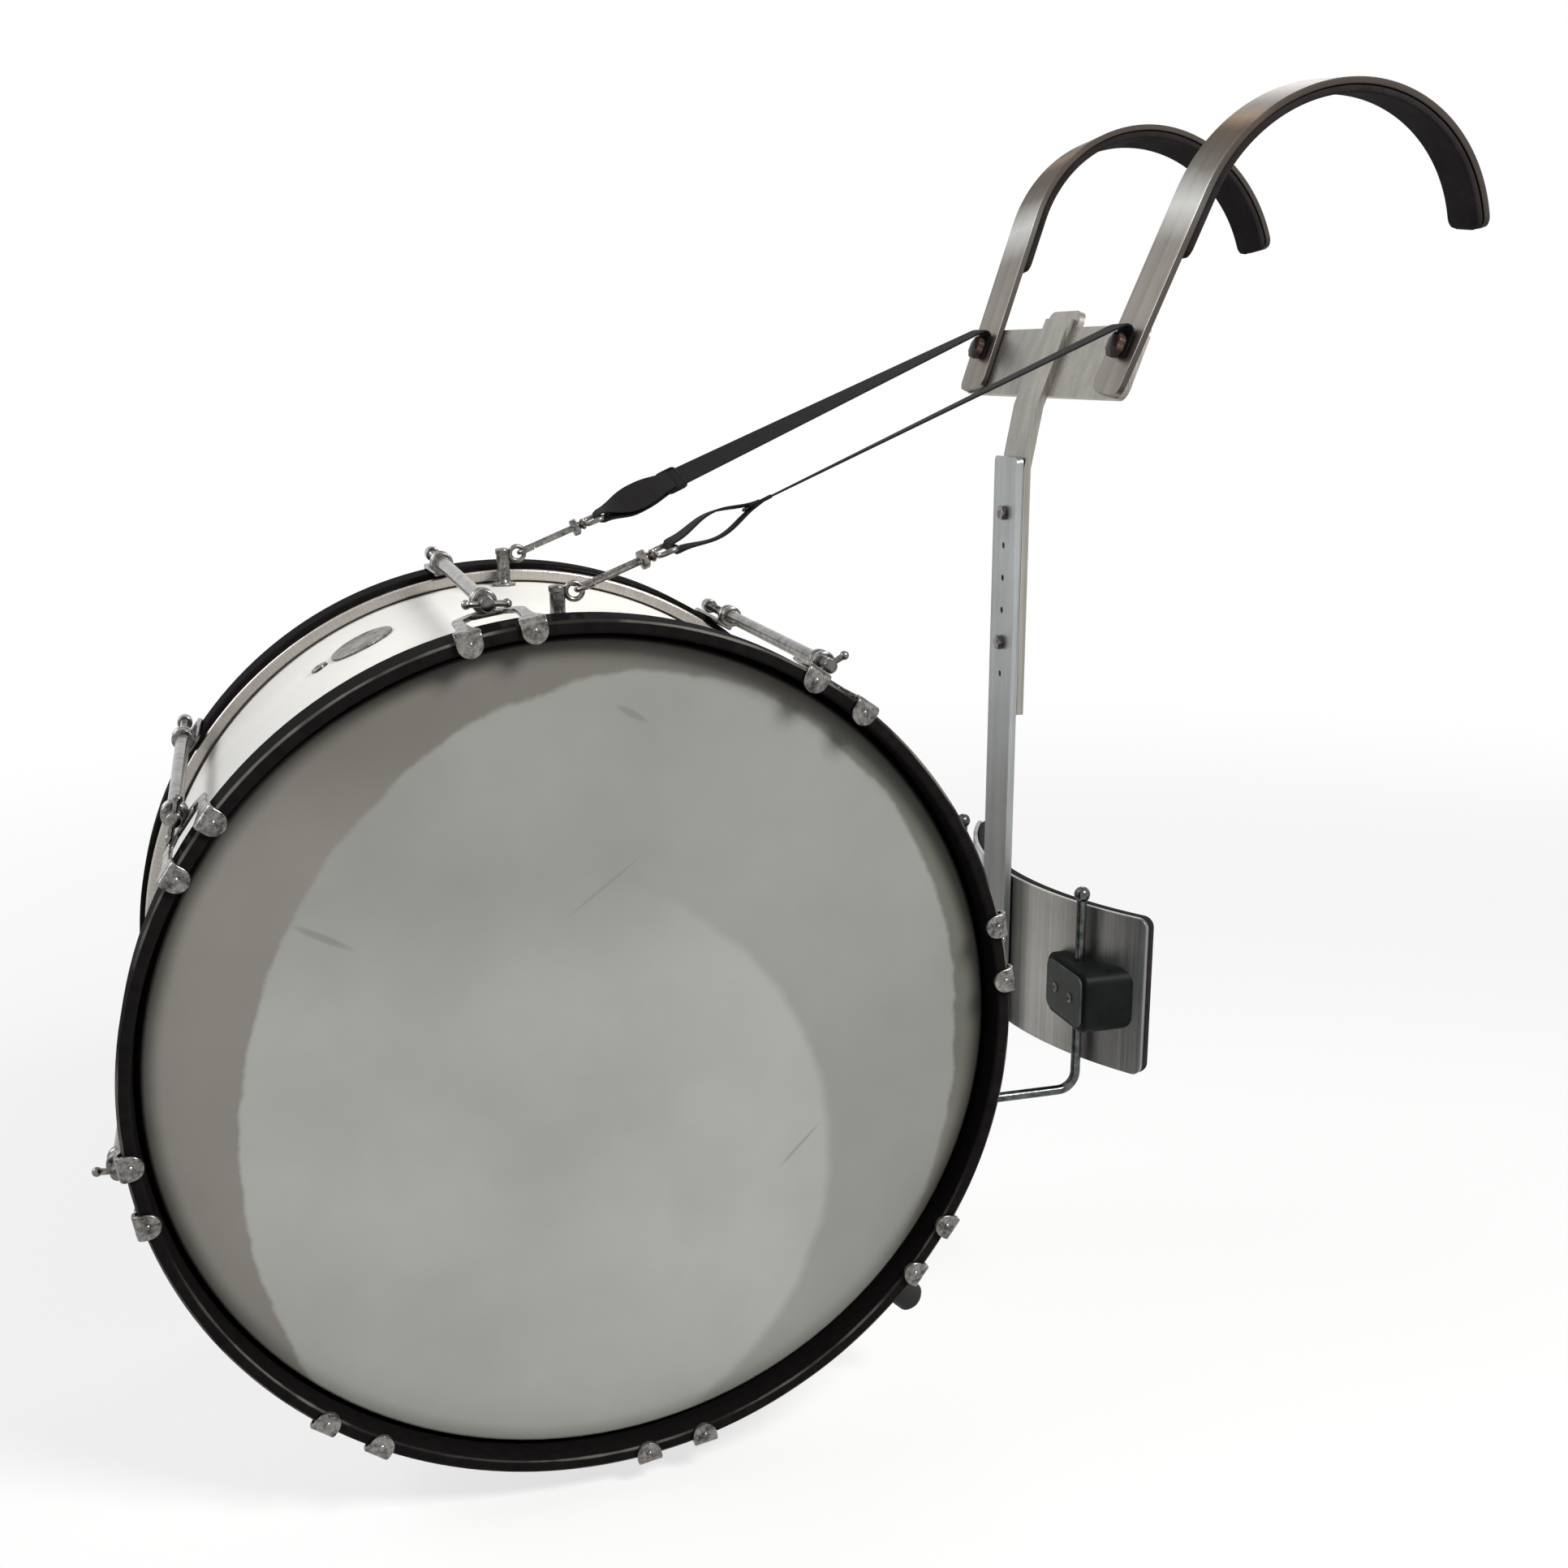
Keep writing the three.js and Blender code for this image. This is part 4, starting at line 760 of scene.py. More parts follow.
def arm_finish(colours):
    """Aluminium strip brushed along its length, with painted reflections and a painted highlight in bright, dark and
    brownish stripes along it, and matt sides in painted shade.
    """
    f = Finish("brushed_arm", colours.arm, 0.36, 1.0, Specular_Tint=(0.52, 0.51, 0.51, 1.0))
    tint = brushed(f, f.place("UV"), height=0.012)
    wavy = f.weigh((f.noise(30.0, 3.0), 0.03), (f.axis(0, "UV"), 2.08))
    # Painted reflections: bright, dark and brownish stripes at places along the strip, with a painted peach highlight.
    painted_reflection_bands = f.ramp(wavy, [
        (0.0, paint(252, 250, 250)), (0.2, paint(255, 253, 252)), (0.28, paint(255, 255, 254)),
        (0.32, paint(255, 255, 255)), (0.37, paint(236, 234, 232)), (0.41, paint(190, 184, 182)),
        (0.445, paint(190, 172, 158)), (0.475, paint(255, 226, 194)), (0.505, paint(140, 128, 123)),
        (0.60, paint(120, 111, 108)), (0.72, paint(176, 168, 164)), (1.0, paint(140, 133, 130)),
    ])
    # A painted highlight: a brighter stripe near where the arch begins.
    lift = f.ramp(wavy, [(0.26, paint(0, 0, 0)), (0.32, paint(190, 190, 190)), (0.38, paint(0, 0, 0))])
    tint = f.blend(f.times(lift, 1.2), f.blend(1.0, tint, painted_reflection_bands, "MULTIPLY"), paint(240, 241, 239))
    sideways = f.off_middle(1, "Normal")
    # Faces that look sideways are painted dark: painted shade on the strip's sides.
    f.feed("Base Color", f.blend(f.span(sideways, 0.45, 0.75, 0.0, 0.92), tint, paint(66, 61, 58)))
    f.feed("Roughness", f.span(sideways, 0.45, 0.75, 0.36, 0.75))
    return f.material


def bar_finish(name, tone):
    """Aluminium bar and plate brushed up its height."""
    f = Finish(name, tone, 0.36, 1.0)
    brushed(f, f.place(turn=UPWARDS))
    return f.material


def belly_finish(colours):
    """Bent aluminium sheet brushed up its height, with painted reflections in lighter and darker upright stripes across
    its width, and painted shade on its edges that face up and down.
    """
    f = Finish("brushed_belly", colours.belly, 0.36, 1.0)
    tint = brushed(f, f.place(turn=UPWARDS))
    wavy = f.weigh((f.noise(14.0, 3.0, vector=f.place(scale=(1, 1, 0.3))), 0.05), (f.off_middle(1), 5.95))
    # Painted reflections: greys across the plate's width, from its middle out to each end.
    greys = [(0.0, 150), (0.26, 158), (0.34, 250), (0.50, 255), (0.58, 224), (0.68, 218), (0.71, 134), (0.76, 134),
             (0.80, 202), (0.92, 210), (1.0, 176)]
    painted_reflection_bands = f.ramp(wavy, [(at, paint(tone, tone, tone)) for at, tone in greys])
    tint = f.blend(1.0, tint, painted_reflection_bands, "MULTIPLY")
    # Faces that look up or down are painted dark: painted shade on the top and bottom edges.
    upright = f.span(f.off_middle(2, "Normal"), 0.3, 0.7, 0.0, 0.7)
    f.feed("Base Color", f.blend(upright, tint, paint(70, 70, 70)))
    return f.material


def channel_finish():
    """Bright metal of the heads' own rims, drawn along the ring, with painted shade where it faces the hoop's inside.
    """
    f = Finish("bright_channel", paint(176, 172, 166), 0.3, 1.0)
    lines = f.noise(1.0, 3.0, vector=f.place("UV", scale=(4.0, 900.0, 1.0)))
    tint = f.shade(f.span(lines, 0.3, 0.7), 0.8, 1.2)
    # Painted shade on the part of the rim's face that lies in the dark gap under the hoop.
    inside = f.times(f.span(f.spoke(), 0.3108, 0.3116, 1.0, 0.0), f.span(f.off_middle(1), 0.1550, 0.1560))
    f.feed("Base Color", f.blend(inside, tint, paint(14, 12, 12)))
    f.feed("Roughness", f.span(f.noise(60.0), 0.3, 0.7, 0.2, 0.34))
    return f.material


def badge_finish():
    """Pressed badge metal, bare, with fine lines across and a dull speckle."""
    f = Finish("badge_metal", paint(168, 165, 160), 0.34, 1.0)
    lines = f.noise(1.0, 3.0, vector=f.place(scale=(300.0, 1800.0, 300.0)))
    speckle = f.noise(520.0, 3.0, 0.7)
    share = f.weigh((speckle, 0.45), (lines, 0.2), (f.noise(70.0, 4.0, 0.6), 0.35))
    f.feed("Base Color", f.shade(f.span(share, 0.42, 0.58), 0.12, 0.8))
    f.feed("Roughness", f.span(lines, 0.3, 0.7, 0.28, 0.44))
    f.relief(speckle, 0.35, 0.0004)
    f.relief(lines, 0.1, 0.0002)
    return f.material


def foam_finish(colours):
    """Closed-cell foam: tiny cells, a dusty cast and worn lighter spots."""
    f = Finish("closed_foam", colours.foam, 0.95, Specular_IOR_Level=0.1)
    cells = f.add("TexVoronoi", {"Vector": f.place(), "Scale": 620.0}).outputs["Distance"]
    cloud = f.noise(40.0, 5.0, 0.65)
    tint = f.shade(f.span(cloud, 0.3, 0.7), 0.75, 1.35)
    f.feed("Base Color", f.blend(f.span(cells, 0.0, 0.5, 0.3, 0.0), tint, paint(16, 14, 15)))
    f.relief(cells, 0.5, 0.0006)
    f.relief(cloud, 0.3, 0.0012)
    return f.material


def webbing_finish(colours):
    """Woven webbing: ribs across it, ridges along it and a light fuzz."""
    f = Finish("woven_webbing", colours.webbing, 0.9, Specular_IOR_Level=0.15)

    def ribs(scale, way):
        """Waves along one axis of the UV map."""
        waves = f.add("TexWave", {"Vector": f.place("UV"), "Scale": scale}, wave_type="BANDS", bands_direction=way)
        return waves.outputs["Fac"]

    weave = f.times(ribs(160.0, "X"), f.maths("MULTIPLY_ADD", ribs(230.0, "Y"), 0.6, 0.4))
    fuzz = f.noise(700.0, 3.0, vector=f.place("UV"))
    f.feed("Base Color", f.blend(f.span(fuzz, 0.5, 0.75, 0.0, 0.35), f.shade(weave, 0.5, 1.5), paint(52, 49, 49)))
    f.relief(weave, 0.6, 0.0005)
    return f.material


def moulded_finish(name, tone, roughness, specular=0.3):
    """Moulded rubber or plastic: fine eggshell grain and a little dust."""
    f = Finish(name, tone, roughness, Specular_IOR_Level=specular)
    dust = f.noise(60.0, 4.0, 0.6)
    f.feed("Base Color", f.shade(f.span(dust, 0.3, 0.7), 0.75, 1.3))
    f.feed("Roughness", f.span(dust, 0.3, 0.7, roughness - 0.06, roughness + 0.08))
    f.relief(f.noise(1500.0, 2.0), 0.2, 0.0003)
    return f.material


FINISHES = {}


def finishes():
    """All the finishes, made once."""
    if not FINISHES:
        colours = bpy.context.scene.drum_colours
        FINISHES.update(
            wrap=wrap_finish(colours),
            lacquer=lacquer_finish(colours),
            film=film_finish(colours),
            chrome=chrome_finish(colours),
            tube=tube_finish("polished_tube", colours.chrome),
            steel=tube_finish("dull_steel", colours.steel),
            arm=arm_finish(colours),
            bar=bar_finish("brushed_bar", colours.aluminium),
            chest=bar_finish("brushed_chest", colours.arm),
            belly=belly_finish(colours),
            channel=channel_finish(),
            badge=badge_finish(),
            foam=foam_finish(colours),
            webbing=webbing_finish(colours),
            rubber=moulded_finish("moulded_rubber", colours.rubber, 0.72),
            block=moulded_finish("moulded_block", colours.block, 0.42, 0.06),
            face=moulded_finish("grey_face", colours.face, 0.5, 0.12),
            knob=moulded_finish("brown_knob", colours.knob, 0.45),
        )
    return FINISHES


# The drum


def closed_ring(inner, outer, low, high, edge):
    """A ring about the drum's axis with round corners."""
    profile = rounded([[inner, low], [outer, low], [outer, high], [inner, high]], edge, 5)
    return turned(profile, axis=Y, segments=192, closed=True)


class DRUM_OT_shell(bpy.types.Operator):
    """Makes the wrapped shell"""

    bl_idname = "drum.shell"
    bl_label = "Shell"

    def execute(self, context):
        s = context.scene.drum_sizes
        half = s.shell_depth / 2
        tube = closed_ring(s.shell_radius - s.shell_wall, s.shell_radius, -half, half, 0.0012)
        piece("drum_shell", [tube], "wrap", "drum", ["shell"])
        return {"FINISHED"}


class DRUM_OT_heads(bpy.types.Operator):
    """Makes the two heads, their rims and the wooden hoops"""

    bl_idname = "drum.heads"
    bl_label = "Heads and hoops"

    def execute(self, context):
        s = context.scene.drum_sizes
        film, radius = s.head_film, s.head_radius
        under = s.shell_depth / 2 + GAP
        top = under + film
        low = s.shell_depth / 2 - s.head_collar
        edge = s.shell_depth / 2 + s.hoop_overhang
        behind = edge - s.hoop_width
        seat = behind + 0.0006
        spread = np.linspace(0.02, 0.97, 24) * radius
        outside = rounded([[spread[-1], top], [radius - 0.001, top], [s.hoop_inner - 0.0002, seat + 0.001],
                           [radius + 0.0002, seat], [radius, seat - 0.002], [radius, low]],
                          [0, 0.0030, 0.0003, 0.0002, 0, 0], 6, closed=False)
        inside = rounded([[radius - film, low], [radius - film, under], [spread[-1], under]], 0.0013, 6, closed=False)
        face = np.stack([spread[:-1], np.full(len(spread) - 1, top)], 1)
        profile = np.vstack([face, outside, inside, [[spread[0], under]]])
        for name, side in SIDES:
            skin = turned(profile * [1, side], axis=Y, segments=128)
            piece(f"{name}_head_film", [skin], "film", "drum", [f"{name}_head"])
            ends = sorted([side * (behind - GAP), side * (behind - 0.0073)])
            rim = closed_ring(radius + GAP, s.hoop_outer - 0.0045, *ends, 0.0016)
            piece(f"{name}_head_rim", [rim], "channel", "drum", [f"{name}_flesh_hoop"])
            ends = sorted([side * edge, side * behind])
            hoop = closed_ring(s.hoop_inner, s.hoop_outer, *ends, 0.0028)
            piece(f"{name}_wood_hoop", [hoop], "lacquer", "drum", [f"{name}_hoop"])
        return {"FINISHED"}


STUD = [[0.0024, -0.0006], [0.0024, 0.0004], [0.0017, 0.0011], [0.0007, 0.0015]]


def claw(h, corners, bends, spacing, stops, slim):
    """A strip bent along its corners, with its tongue's end a half circle.

    Its half width is the tongue's up to the second stop along it, and then runs through the slimmer ones to the end.
    """
    line = evenly(rounded(corners, bends, 8, closed=False), spacing)
    run = running(line)
    tongue = h.claw_width / 2
    half = np.interp(run, [*stops, run[-1]], [tongue, tongue, *slim]) - end_round(run, tongue, end=False)
    return swept(line, strip_section(np.maximum(half, 0.0004), h.claw_metal / 2, 0.0011), X, flat=True)


class DRUM_OT_claws(bpy.types.Operator):
    """Makes the claw yokes on the near hoop and the claws on the far hoop"""

    bl_idname = "drum.claws"
    bl_label = "Claws"

    def execute(self, context):
        s, h = context.scene.drum_sizes, context.scene.hardware_sizes
        edge = s.shell_depth / 2 + s.hoop_overhang
        metal = h.claw_metal / 2
        front, over = edge + GAP + metal, s.hoop_outer + GAP + metal
        tip = s.hoop_outer + GAP - 0.0145
        stud_up = tip + h.claw_width / 2
        near = []
        for k in (-1, 1):
            t = k * h.claw_spread
            corners = [[t, -front, tip], [t, -front, over], [t, -edge + 0.054, over], [k * 0.009, -edge + 0.069, over]]
            stops, slim = (0, 0.0215, 0.034, 0.05), (0.0052, 0.0042, 0.0042)
            near += [claw(h, corners, [0, 0.0034, 0.012, 0], 0.0007, stops, slim),
                     turned(STUD, (t, -front - metal, stud_up), -Y, 20)]
        bridge = rounded([[-0.0135, -edge + 0.060], [0.0135, -edge + 0.060], [0.0095, -edge + 0.074],
                          [-0.0095, -edge + 0.074]], 0.003, 4)
        low, high = -edge + 0.061, -edge + 0.077
        barrel = rounded([[0.0043, low], [0.0090, low], [0.0090, low + 0.005], [0.0083, low + 0.006],
                          [0.0083, high - 0.006], [0.0090, high - 0.005], [0.0090, high], [0.0043, high]],
                         [0.0006, 0.0014, 0.0005, 0.0005, 0.0005, 0.0005, 0.0014, 0.0006], 3)
        near += [plate(bridge, over - metal, over + metal, 0.001, flat_bend((0, 0, 0), X, Y, Z)),
                 turned(barrel, (0, 0, h.rod_radius), Y, 32, closed=True)]
        corners = [[0, front, tip], [0, front, over], [0, edge - 0.070, over]]
        far = [claw(h, corners, 0.0034, 0.0008, (0, 0.052, 0.066), (0.0088, 0.0078)),
               turned(barrel + [0, (edge - 0.078) + edge - 0.061], (0, 0, h.rod_radius), Y, 32, closed=True),
               turned(STUD, (0, front + metal, stud_up), Y, 20)]
        for index in STATIONS:
            for name, solid, parts in (("near_claw", "claw_yoke", near), ("far_hook", "far_claw", far)):
                placed = [moved(part, station(index, h)) for part in parts]
                piece(f"{name}_{index + 1}", placed, "chrome", "drum", [f"{solid}_{index + 1}"])
        return {"FINISHED"}


def rod_profile(sleeve):
    """A tension rod's [radius, y] from its collar by the sleeve to its threaded end and round knob."""
    front = [[0.0030, -0.1525], [0.0048, -0.1521], [0.0055, -0.1510], [0.0055, -0.1480], [0.0050, -0.1472],
             [0.0050, -0.1445], [0.0057, -0.1436], [0.0057, -0.1378], [0.0053, -0.1373], [0.0036, -0.1373],
             [0.0036, -0.1207], [sleeve - 0.0008, -0.1207], [sleeve, -0.1198], [sleeve, -0.1120],
             [sleeve - 0.0005, -0.1112], [sleeve - 0.0005, 0.1102], [sleeve, 0.1110], [sleeve, 0.1188],
             [sleeve - 0.0008, 0.1197], [0.0036, 0.1197], [0.0036, 0.1365]]
    low = 0.1375 + np.arange(44) * 0.00124
    thread = np.stack([np.tile([0.0031, 0.0037], len(low)), np.stack([low, low + 0.00062], 1).ravel()], 1)
    knob = rounded([[0.0036, 0.1925], [0.0062, 0.1925], [0.0062, 0.2060], [0.0010, 0.2060]],
                   [0, 0.0012, 0.0040, 0], 5, closed=False)
    return np.vstack([front, thread, knob])


class DRUM_OT_rods(bpy.types.Operator):
    """Makes the eight tension rods with their T-handles"""

    bl_idname = "drum.rods"
    bl_label = "Tension rods"

    def execute(self, context):
        h = context.scene.hardware_sizes
        profile = rod_profile(h.rod_sleeve)
        arc = np.linspace(0, math.radians(137), 8)
        ball = np.stack([0.0035 * np.sin(arc), 0.014 + 0.0035 * np.cos(arc)], 1)[1:]
        bar = np.vstack([ball, [[0.0024, 0.0100], [0.0022, 0.0060]]])
        bar = np.vstack([bar, bar[::-1] * [1, -1]])
        for index in STATIONS:
            twist = math.radians(HANDLE_TURNS[index])
            rod = turned(profile, (0, 0, h.rod_radius), Y, 20)
            handle = turned(bar, (0, -0.1465, h.rod_radius), (math.sin(twist), 0, math.cos(twist)), 16)
            parts = [moved(part, station(index, h)) for part in (rod, handle)]
            name = f"t_rod_{index + 1}"
            piece(f"tension_rod_{index + 1}", parts, "tube", name, [name])
        return {"FINISHED"}


class DRUM_OT_fittings(bpy.types.Operator):
    """Makes the badge, the vent and the rubber foot on the shell"""

    bl_idname = "drum.fittings"
    bl_label = "Shell fittings"

    def execute(self, context):
        s = context.scene.drum_sizes
        seat = s.shell_radius + GAP
        place_badge = round_shell(s.badge_angle)

        def on_shell(u, v, w):
            u, v, w = np.broadcast_arrays(u, v, w)
            turn = u / s.shell_radius
            return place_badge(np.stack([(seat + w) * np.sin(turn), v + FITTING_LINE, (seat + w) * np.cos(turn)], -1))

        outline = ring(96) * [0.026, 0.030]
        shares = np.array([0.08, 0.2, 0.35, 0.5, 0.58, 0.60, 0.62, 0.64, 0.7, 0.8, 0.84, 0.86, 0.88, 0.95, 1.0])

        def relief(share):
            dome = 0.0006 * (1 - share**2)
            line = 0.0005 * np.exp(-(((share - 0.61) / 0.018) ** 2))
            border = 0.0007 * np.clip((share - 0.84) / 0.04, 0, 1)
            return dome + line + border - 0.0007

        badge = plate(outline, 0.0, 0.0019, 0.0007, on_shell, inner=shares, crown=relief)
        piece("oval_badge", [badge], "badge", "drum", ["badge"])

        out = np.array([math.cos(s.vent_angle), 0, math.sin(s.vent_angle)])
        inner = s.shell_radius - s.shell_wall
        profile = rounded(
            [[0.0026, inner], [0.0042, inner], [0.0042, seat - 0.0008], [0.0070, seat - 0.0008], [0.0070, seat + 0.002],
             [0.0026, seat + 0.002]], [0.0003, 0.0003, 0, 0.0002, 0.0011, 0.0009], 4)
        grommet = turned(profile, (0, FITTING_LINE, 0), out, 40, closed=True)
        piece("vent_ring", [grommet], "chrome", "drum", ["vent_grommet"])

        out = np.array([math.cos(s.foot_angle), 0, math.sin(s.foot_angle)])
        base, tip = s.shell_radius - 0.001, s.shell_radius + 0.072
        profile = rounded(
            [[0.0120, base], [0.0140, base], [0.0140, base + 0.006], [0.0131, base + 0.007], [0.0131, base + 0.010],
             [0.0139, base + 0.011], [0.0137, base + 0.020], [0.0120, tip - 0.004], [0.0080, tip], [0.0010, tip]],
            [0, 0, 0.0006, 0.0004, 0.0004, 0.0006, 0.004, 0.003, 0.003, 0], 4, closed=False)
        foot = turned(profile, (0, FOOT_LINE, 0), out, 48)
        piece("moulded_foot", [foot], "rubber", "drum", ["rubber_foot"])
        return {"FINISHED"}


# The posts, hooks and straps


def hook_frame(side, h):
    """The eye's middle, and the hook's own along, across and up directions."""
    rise = h.hook_rise
    middle = np.array([EYE_AT[0], side * h.strap_line, EYE_AT[1]])
    return middle, math.cos(rise) * X + math.sin(rise) * Z, Y, math.cos(rise) * Z - math.sin(rise) * X


class DRUM_OT_hooks(bpy.types.Operator):
    """Makes the strap posts, the snap hooks and their gates"""

    bl_idname = "drum.hooks"
    bl_label = "Posts and hooks"

    def execute(self, context):
        s, h = context.scene.drum_sizes, context.scene.hardware_sizes
        r = h.strap_metal
        foot = s.shell_radius - 0.0006
        profile = rounded([[0.0098, foot], [0.0100, foot + 0.0031], [0.0062, foot + 0.0036], [0.0055, foot + 0.006],
                           [0.0055, 0.3305], [0.0062, 0.3312], [0.0062, 0.3352], [0.0010, 0.3362]],
                          [0, 0.0008, 0.0005, 0.002, 0.0004, 0.0006, 0.0010, 0], 4, closed=False)
        loop = ring(32, 0.006)
        bend = [[HOOK_END, SIDE_WIRE, 0], [r, SIDE_WIRE, 0], [r, -SIDE_WIRE, 0], [0.0144, -SIDE_WIRE, 0]]
        line = evenly(rounded(bend, [0, 0.0064, 0.0064, 0], 14, closed=False), 0.0011)
        swivel = [[0.0030, 0.0506], [0.0066, 0.0510], [0.0070, 0.0524], [0.0070, 0.0560], [0.0058, 0.0572],
                  [0.0036, 0.0580], [0.0030, 0.0590], [0.0046, 0.0602], [0.0046, 0.0620], [0.0030, 0.0634]]
        yoke = box_outline(0.0088, 0.0026, 0.0016, 4)
        near_bar, far_bar = RING_AT
        strap_ring = rounded([[near_bar, -0.0152, 0], [near_bar, 0.0152, 0], [far_bar, 0.0152, 0],
                              [far_bar, -0.0152, 0]], 0.0042, 6)
        strap_ring = evenly(strap_ring, 0.0014, closed=True)
        pin = rounded([[0.0002, 0.0152], [0.0016, 0.0152], [0.0016, 0.0516], [0.0002, 0.0516]],
                      [0, 0.0010, 0.0010, 0], 4, closed=False)
        for name, side in SIDES:
            post = turned(profile, (-EYE_AT[0], side * h.strap_line, 0), Z, 32)
            middle, along, across, up = hook_frame(side, h)
            eye = wire(middle + loop[:, :1] * X + loop[:, 1:] * Z, r, Y, 12, closed=True)
            piece(f"{name}_post", [post, eye], "chrome", "drum", [f"{name}_strap_post"])

            def at(points):
                points = np.asarray(points, float)
                return middle + points[:, :1] * along + points[:, 1:2] * across + points[:, 2:] * up

            lay = flat_bend(at([[HOOK_END, 0, 0]])[0], across, along, up)
            parts = [wire(at(line), r, up, 14), turned(swivel, middle, along, 28),
                     plate(yoke, -0.0029, 0.0029, 0.0009, lay), wire(at(strap_ring), 0.0020, up, 12, closed=True)]
            piece(f"{name}_hook", parts, "chrome", "drum", [f"{name}_snap_hook"])
            gate = turned(pin, middle - SIDE_WIRE * across, along, 16)
            piece(f"{name}_gate", [gate], "chrome", f"{name}_hook_gate", [f"{name}_hook_gate"])
        return {"FINISHED"}


def chest_point(c, up, out, across=0.0):
    """A point on the chest plate's face line, from its distances up the face and out of it towards the drum."""
    lean = c.chest_lean
    rise = math.sin(lean) * X + math.cos(lean) * Z
    face = math.sin(lean) * Z - math.cos(lean) * X
    up, out, across = (np.asarray(v, float)[..., None] for v in (up, out, across))
    return np.array(CHEST_FOOT) + up * rise + out * face + across * Y


class DRUM_OT_straps(bpy.types.Operator):
    """Makes the two straps with their sliders"""

    bl_idname = "drum.straps"
    bl_label = "Straps"

    def execute(self, context):
        h, c = context.scene.hardware_sizes, context.scene.carrier_sizes
        for name, side in SIDES:
            middle, along, _, _ = hook_frame(side, h)
            start = middle + along * RING_AT[1]
            slide = np.array([SLIDER_AT[0], side * h.strap_line, SLIDER_AT[1]])
            pull = unit(slide - start)
            lift = np.cross(pull, -Y) if np.cross(pull, -Y)[2] > 0 else np.cross(pull, Y)
            reach = np.linalg.norm(slide - start)
            share = np.linspace(1, 0, 40)
            belly = BULGES[name] * np.sin(math.pi * share) ** 2
            rise = RING_TURN * (1 - share) + 0.0012 * share + belly
            at_slider, in_loop, after = TWISTS[name]
            loop_twist = np.radians(at_slider * share + (in_loop - at_slider / 2) * np.sin(math.pi * share) ** 2)
            arc = np.linspace(0, math.pi, 16)[1:-1]

            lap_high, lap_low = (chest_point(c, up, LAP[2], side * h.strap_line) for up in LAP[:2])
            free = np.vstack([[slide - pull * 0.02 - 0.0012 * lift], [slide + pull * 0.006], [lap_high], [lap_low]])
            single = rounded(free, [0, 0.01, 0.005, 0], 12, closed=False)[1:]
            gone = np.clip(running(single) / np.linalg.norm(lap_high - slide), 0, 1)
            twist = np.concatenate([loop_twist, np.zeros(len(arc)), loop_twist[::-1][:-4],
                                    np.radians(np.interp(gone, [0, 0.25, 0.75, 0.97], [at_slider, after, after, 0]))])

            turned_lift = np.cos(loop_twist)[:, None] * lift + np.sin(loop_twist)[:, None] * np.cross(pull, lift)
            upper = start + share[:, None] * reach * pull + rise[:, None] * turned_lift
            turn = start - RING_TURN * np.sin(arc)[:, None] * pull + RING_TURN * np.cos(arc)[:, None] * lift
            lower = (start + share[:, None] * reach * pull - rise[:, None] * turned_lift)[::-1]
            line = np.vstack([upper, turn, lower[:-4], single])
            run = running(line)
            line = evenly(line, 0.003)
            twist = np.interp(np.linspace(0, run[-1], len(line)), run, twist)
            run = running(line)
            section = strip_section(h.strap_width / 2 - end_round(run, 0.0015), STRAP_THICK / 2, 0.0007, 2)
            hint = np.cos(twist)[:, None] * Y + np.sin(twist)[:, None] * np.cross(pull, Y)
            strap = swept(line, section, hint, flat=True)
            made = piece(f"{name}_webbing", [strap], "webbing", None, [f"{name}_strap"])

            half, long = h.strap_width / 2 + 0.0022, 0.0085
            phi = math.radians(at_slider)
            wide = math.cos(phi) * Y + math.sin(phi) * np.cross(pull, Y)
            corners = ((-1, -1), (1, -1), (1, 1), (-1, 1))
            loop = np.array([slide + a * long * pull + b * half * wide for a, b in corners])
            flat = np.cross(pull, wide)
            buckle = [wire(evenly(rounded(loop, 0.003, 5), 0.0016, closed=True), 0.0014, flat, 10, closed=True),
                      wire(np.array([slide - half * wide, slide, slide + half * wide]), 0.0013, flat, 10)]
            slider = piece(f"{name}_slider", buckle, "block", "drum")

            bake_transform(made)
        return {"FINISHED"}


# The carrier


def arm_path(c, depth, start_up):
    """An upright arm's line at a depth under its outer surface: up the chest's face and round over the shoulder."""
    centre = chest_point(c, c.arm_straight, -c.arm_radius)
    turn = np.linspace(math.pi - c.chest_lean, c.arm_end, 90)[:, None]
    arch = centre + (c.arm_radius - depth) * (np.cos(turn) * X + np.sin(turn) * Z)
    straight = chest_point(c, np.linspace(start_up, c.arm_straight - 0.002, 24), -depth)
    return evenly(np.vstack([straight, arch]), 0.0016)


def arm_half_width(c, line, inset):
    """Half an arm's width: full in front of the shoulder's middle, then narrowing evenly to its tip."""
    wide, slim = c.arm_width / 2 - inset, c.arm_tip / 2 - inset
    middle = chest_point(c, c.arm_straight, -c.arm_radius)[0]
    return np.interp(line[:, 0], [middle, middle + c.arm_radius + c.arm_metal], [wide, slim])


def leaning_out(c, part, side, y):
    """An upright arm's part turned about the knob's axis and moved out to its place across the chest.

    With a the distance up the face from the knob and b the distance across, and t the splay: a becomes
    a * cos t - b * sin t, and b becomes a * sin t + b * cos t.
    """
    knob = chest_point(c, KNOB_UP, 0)
    rise, out = (chest_point(c, *step) - chest_point(c, 0, 0) for step in ((1, 0), (0, 1)))
    cos, sin = math.cos(c.arm_splay), side * math.sin(c.arm_splay)

    def change(points):
        up, away, across = (points - knob) @ rise, (points - knob) @ out, points[:, 1]
        up, across = up * cos - across * sin, up * sin + across * cos
        return knob + up[:, None] * rise + away[:, None] * out + (across + y)[:, None] * Y

    return moved(part, change)


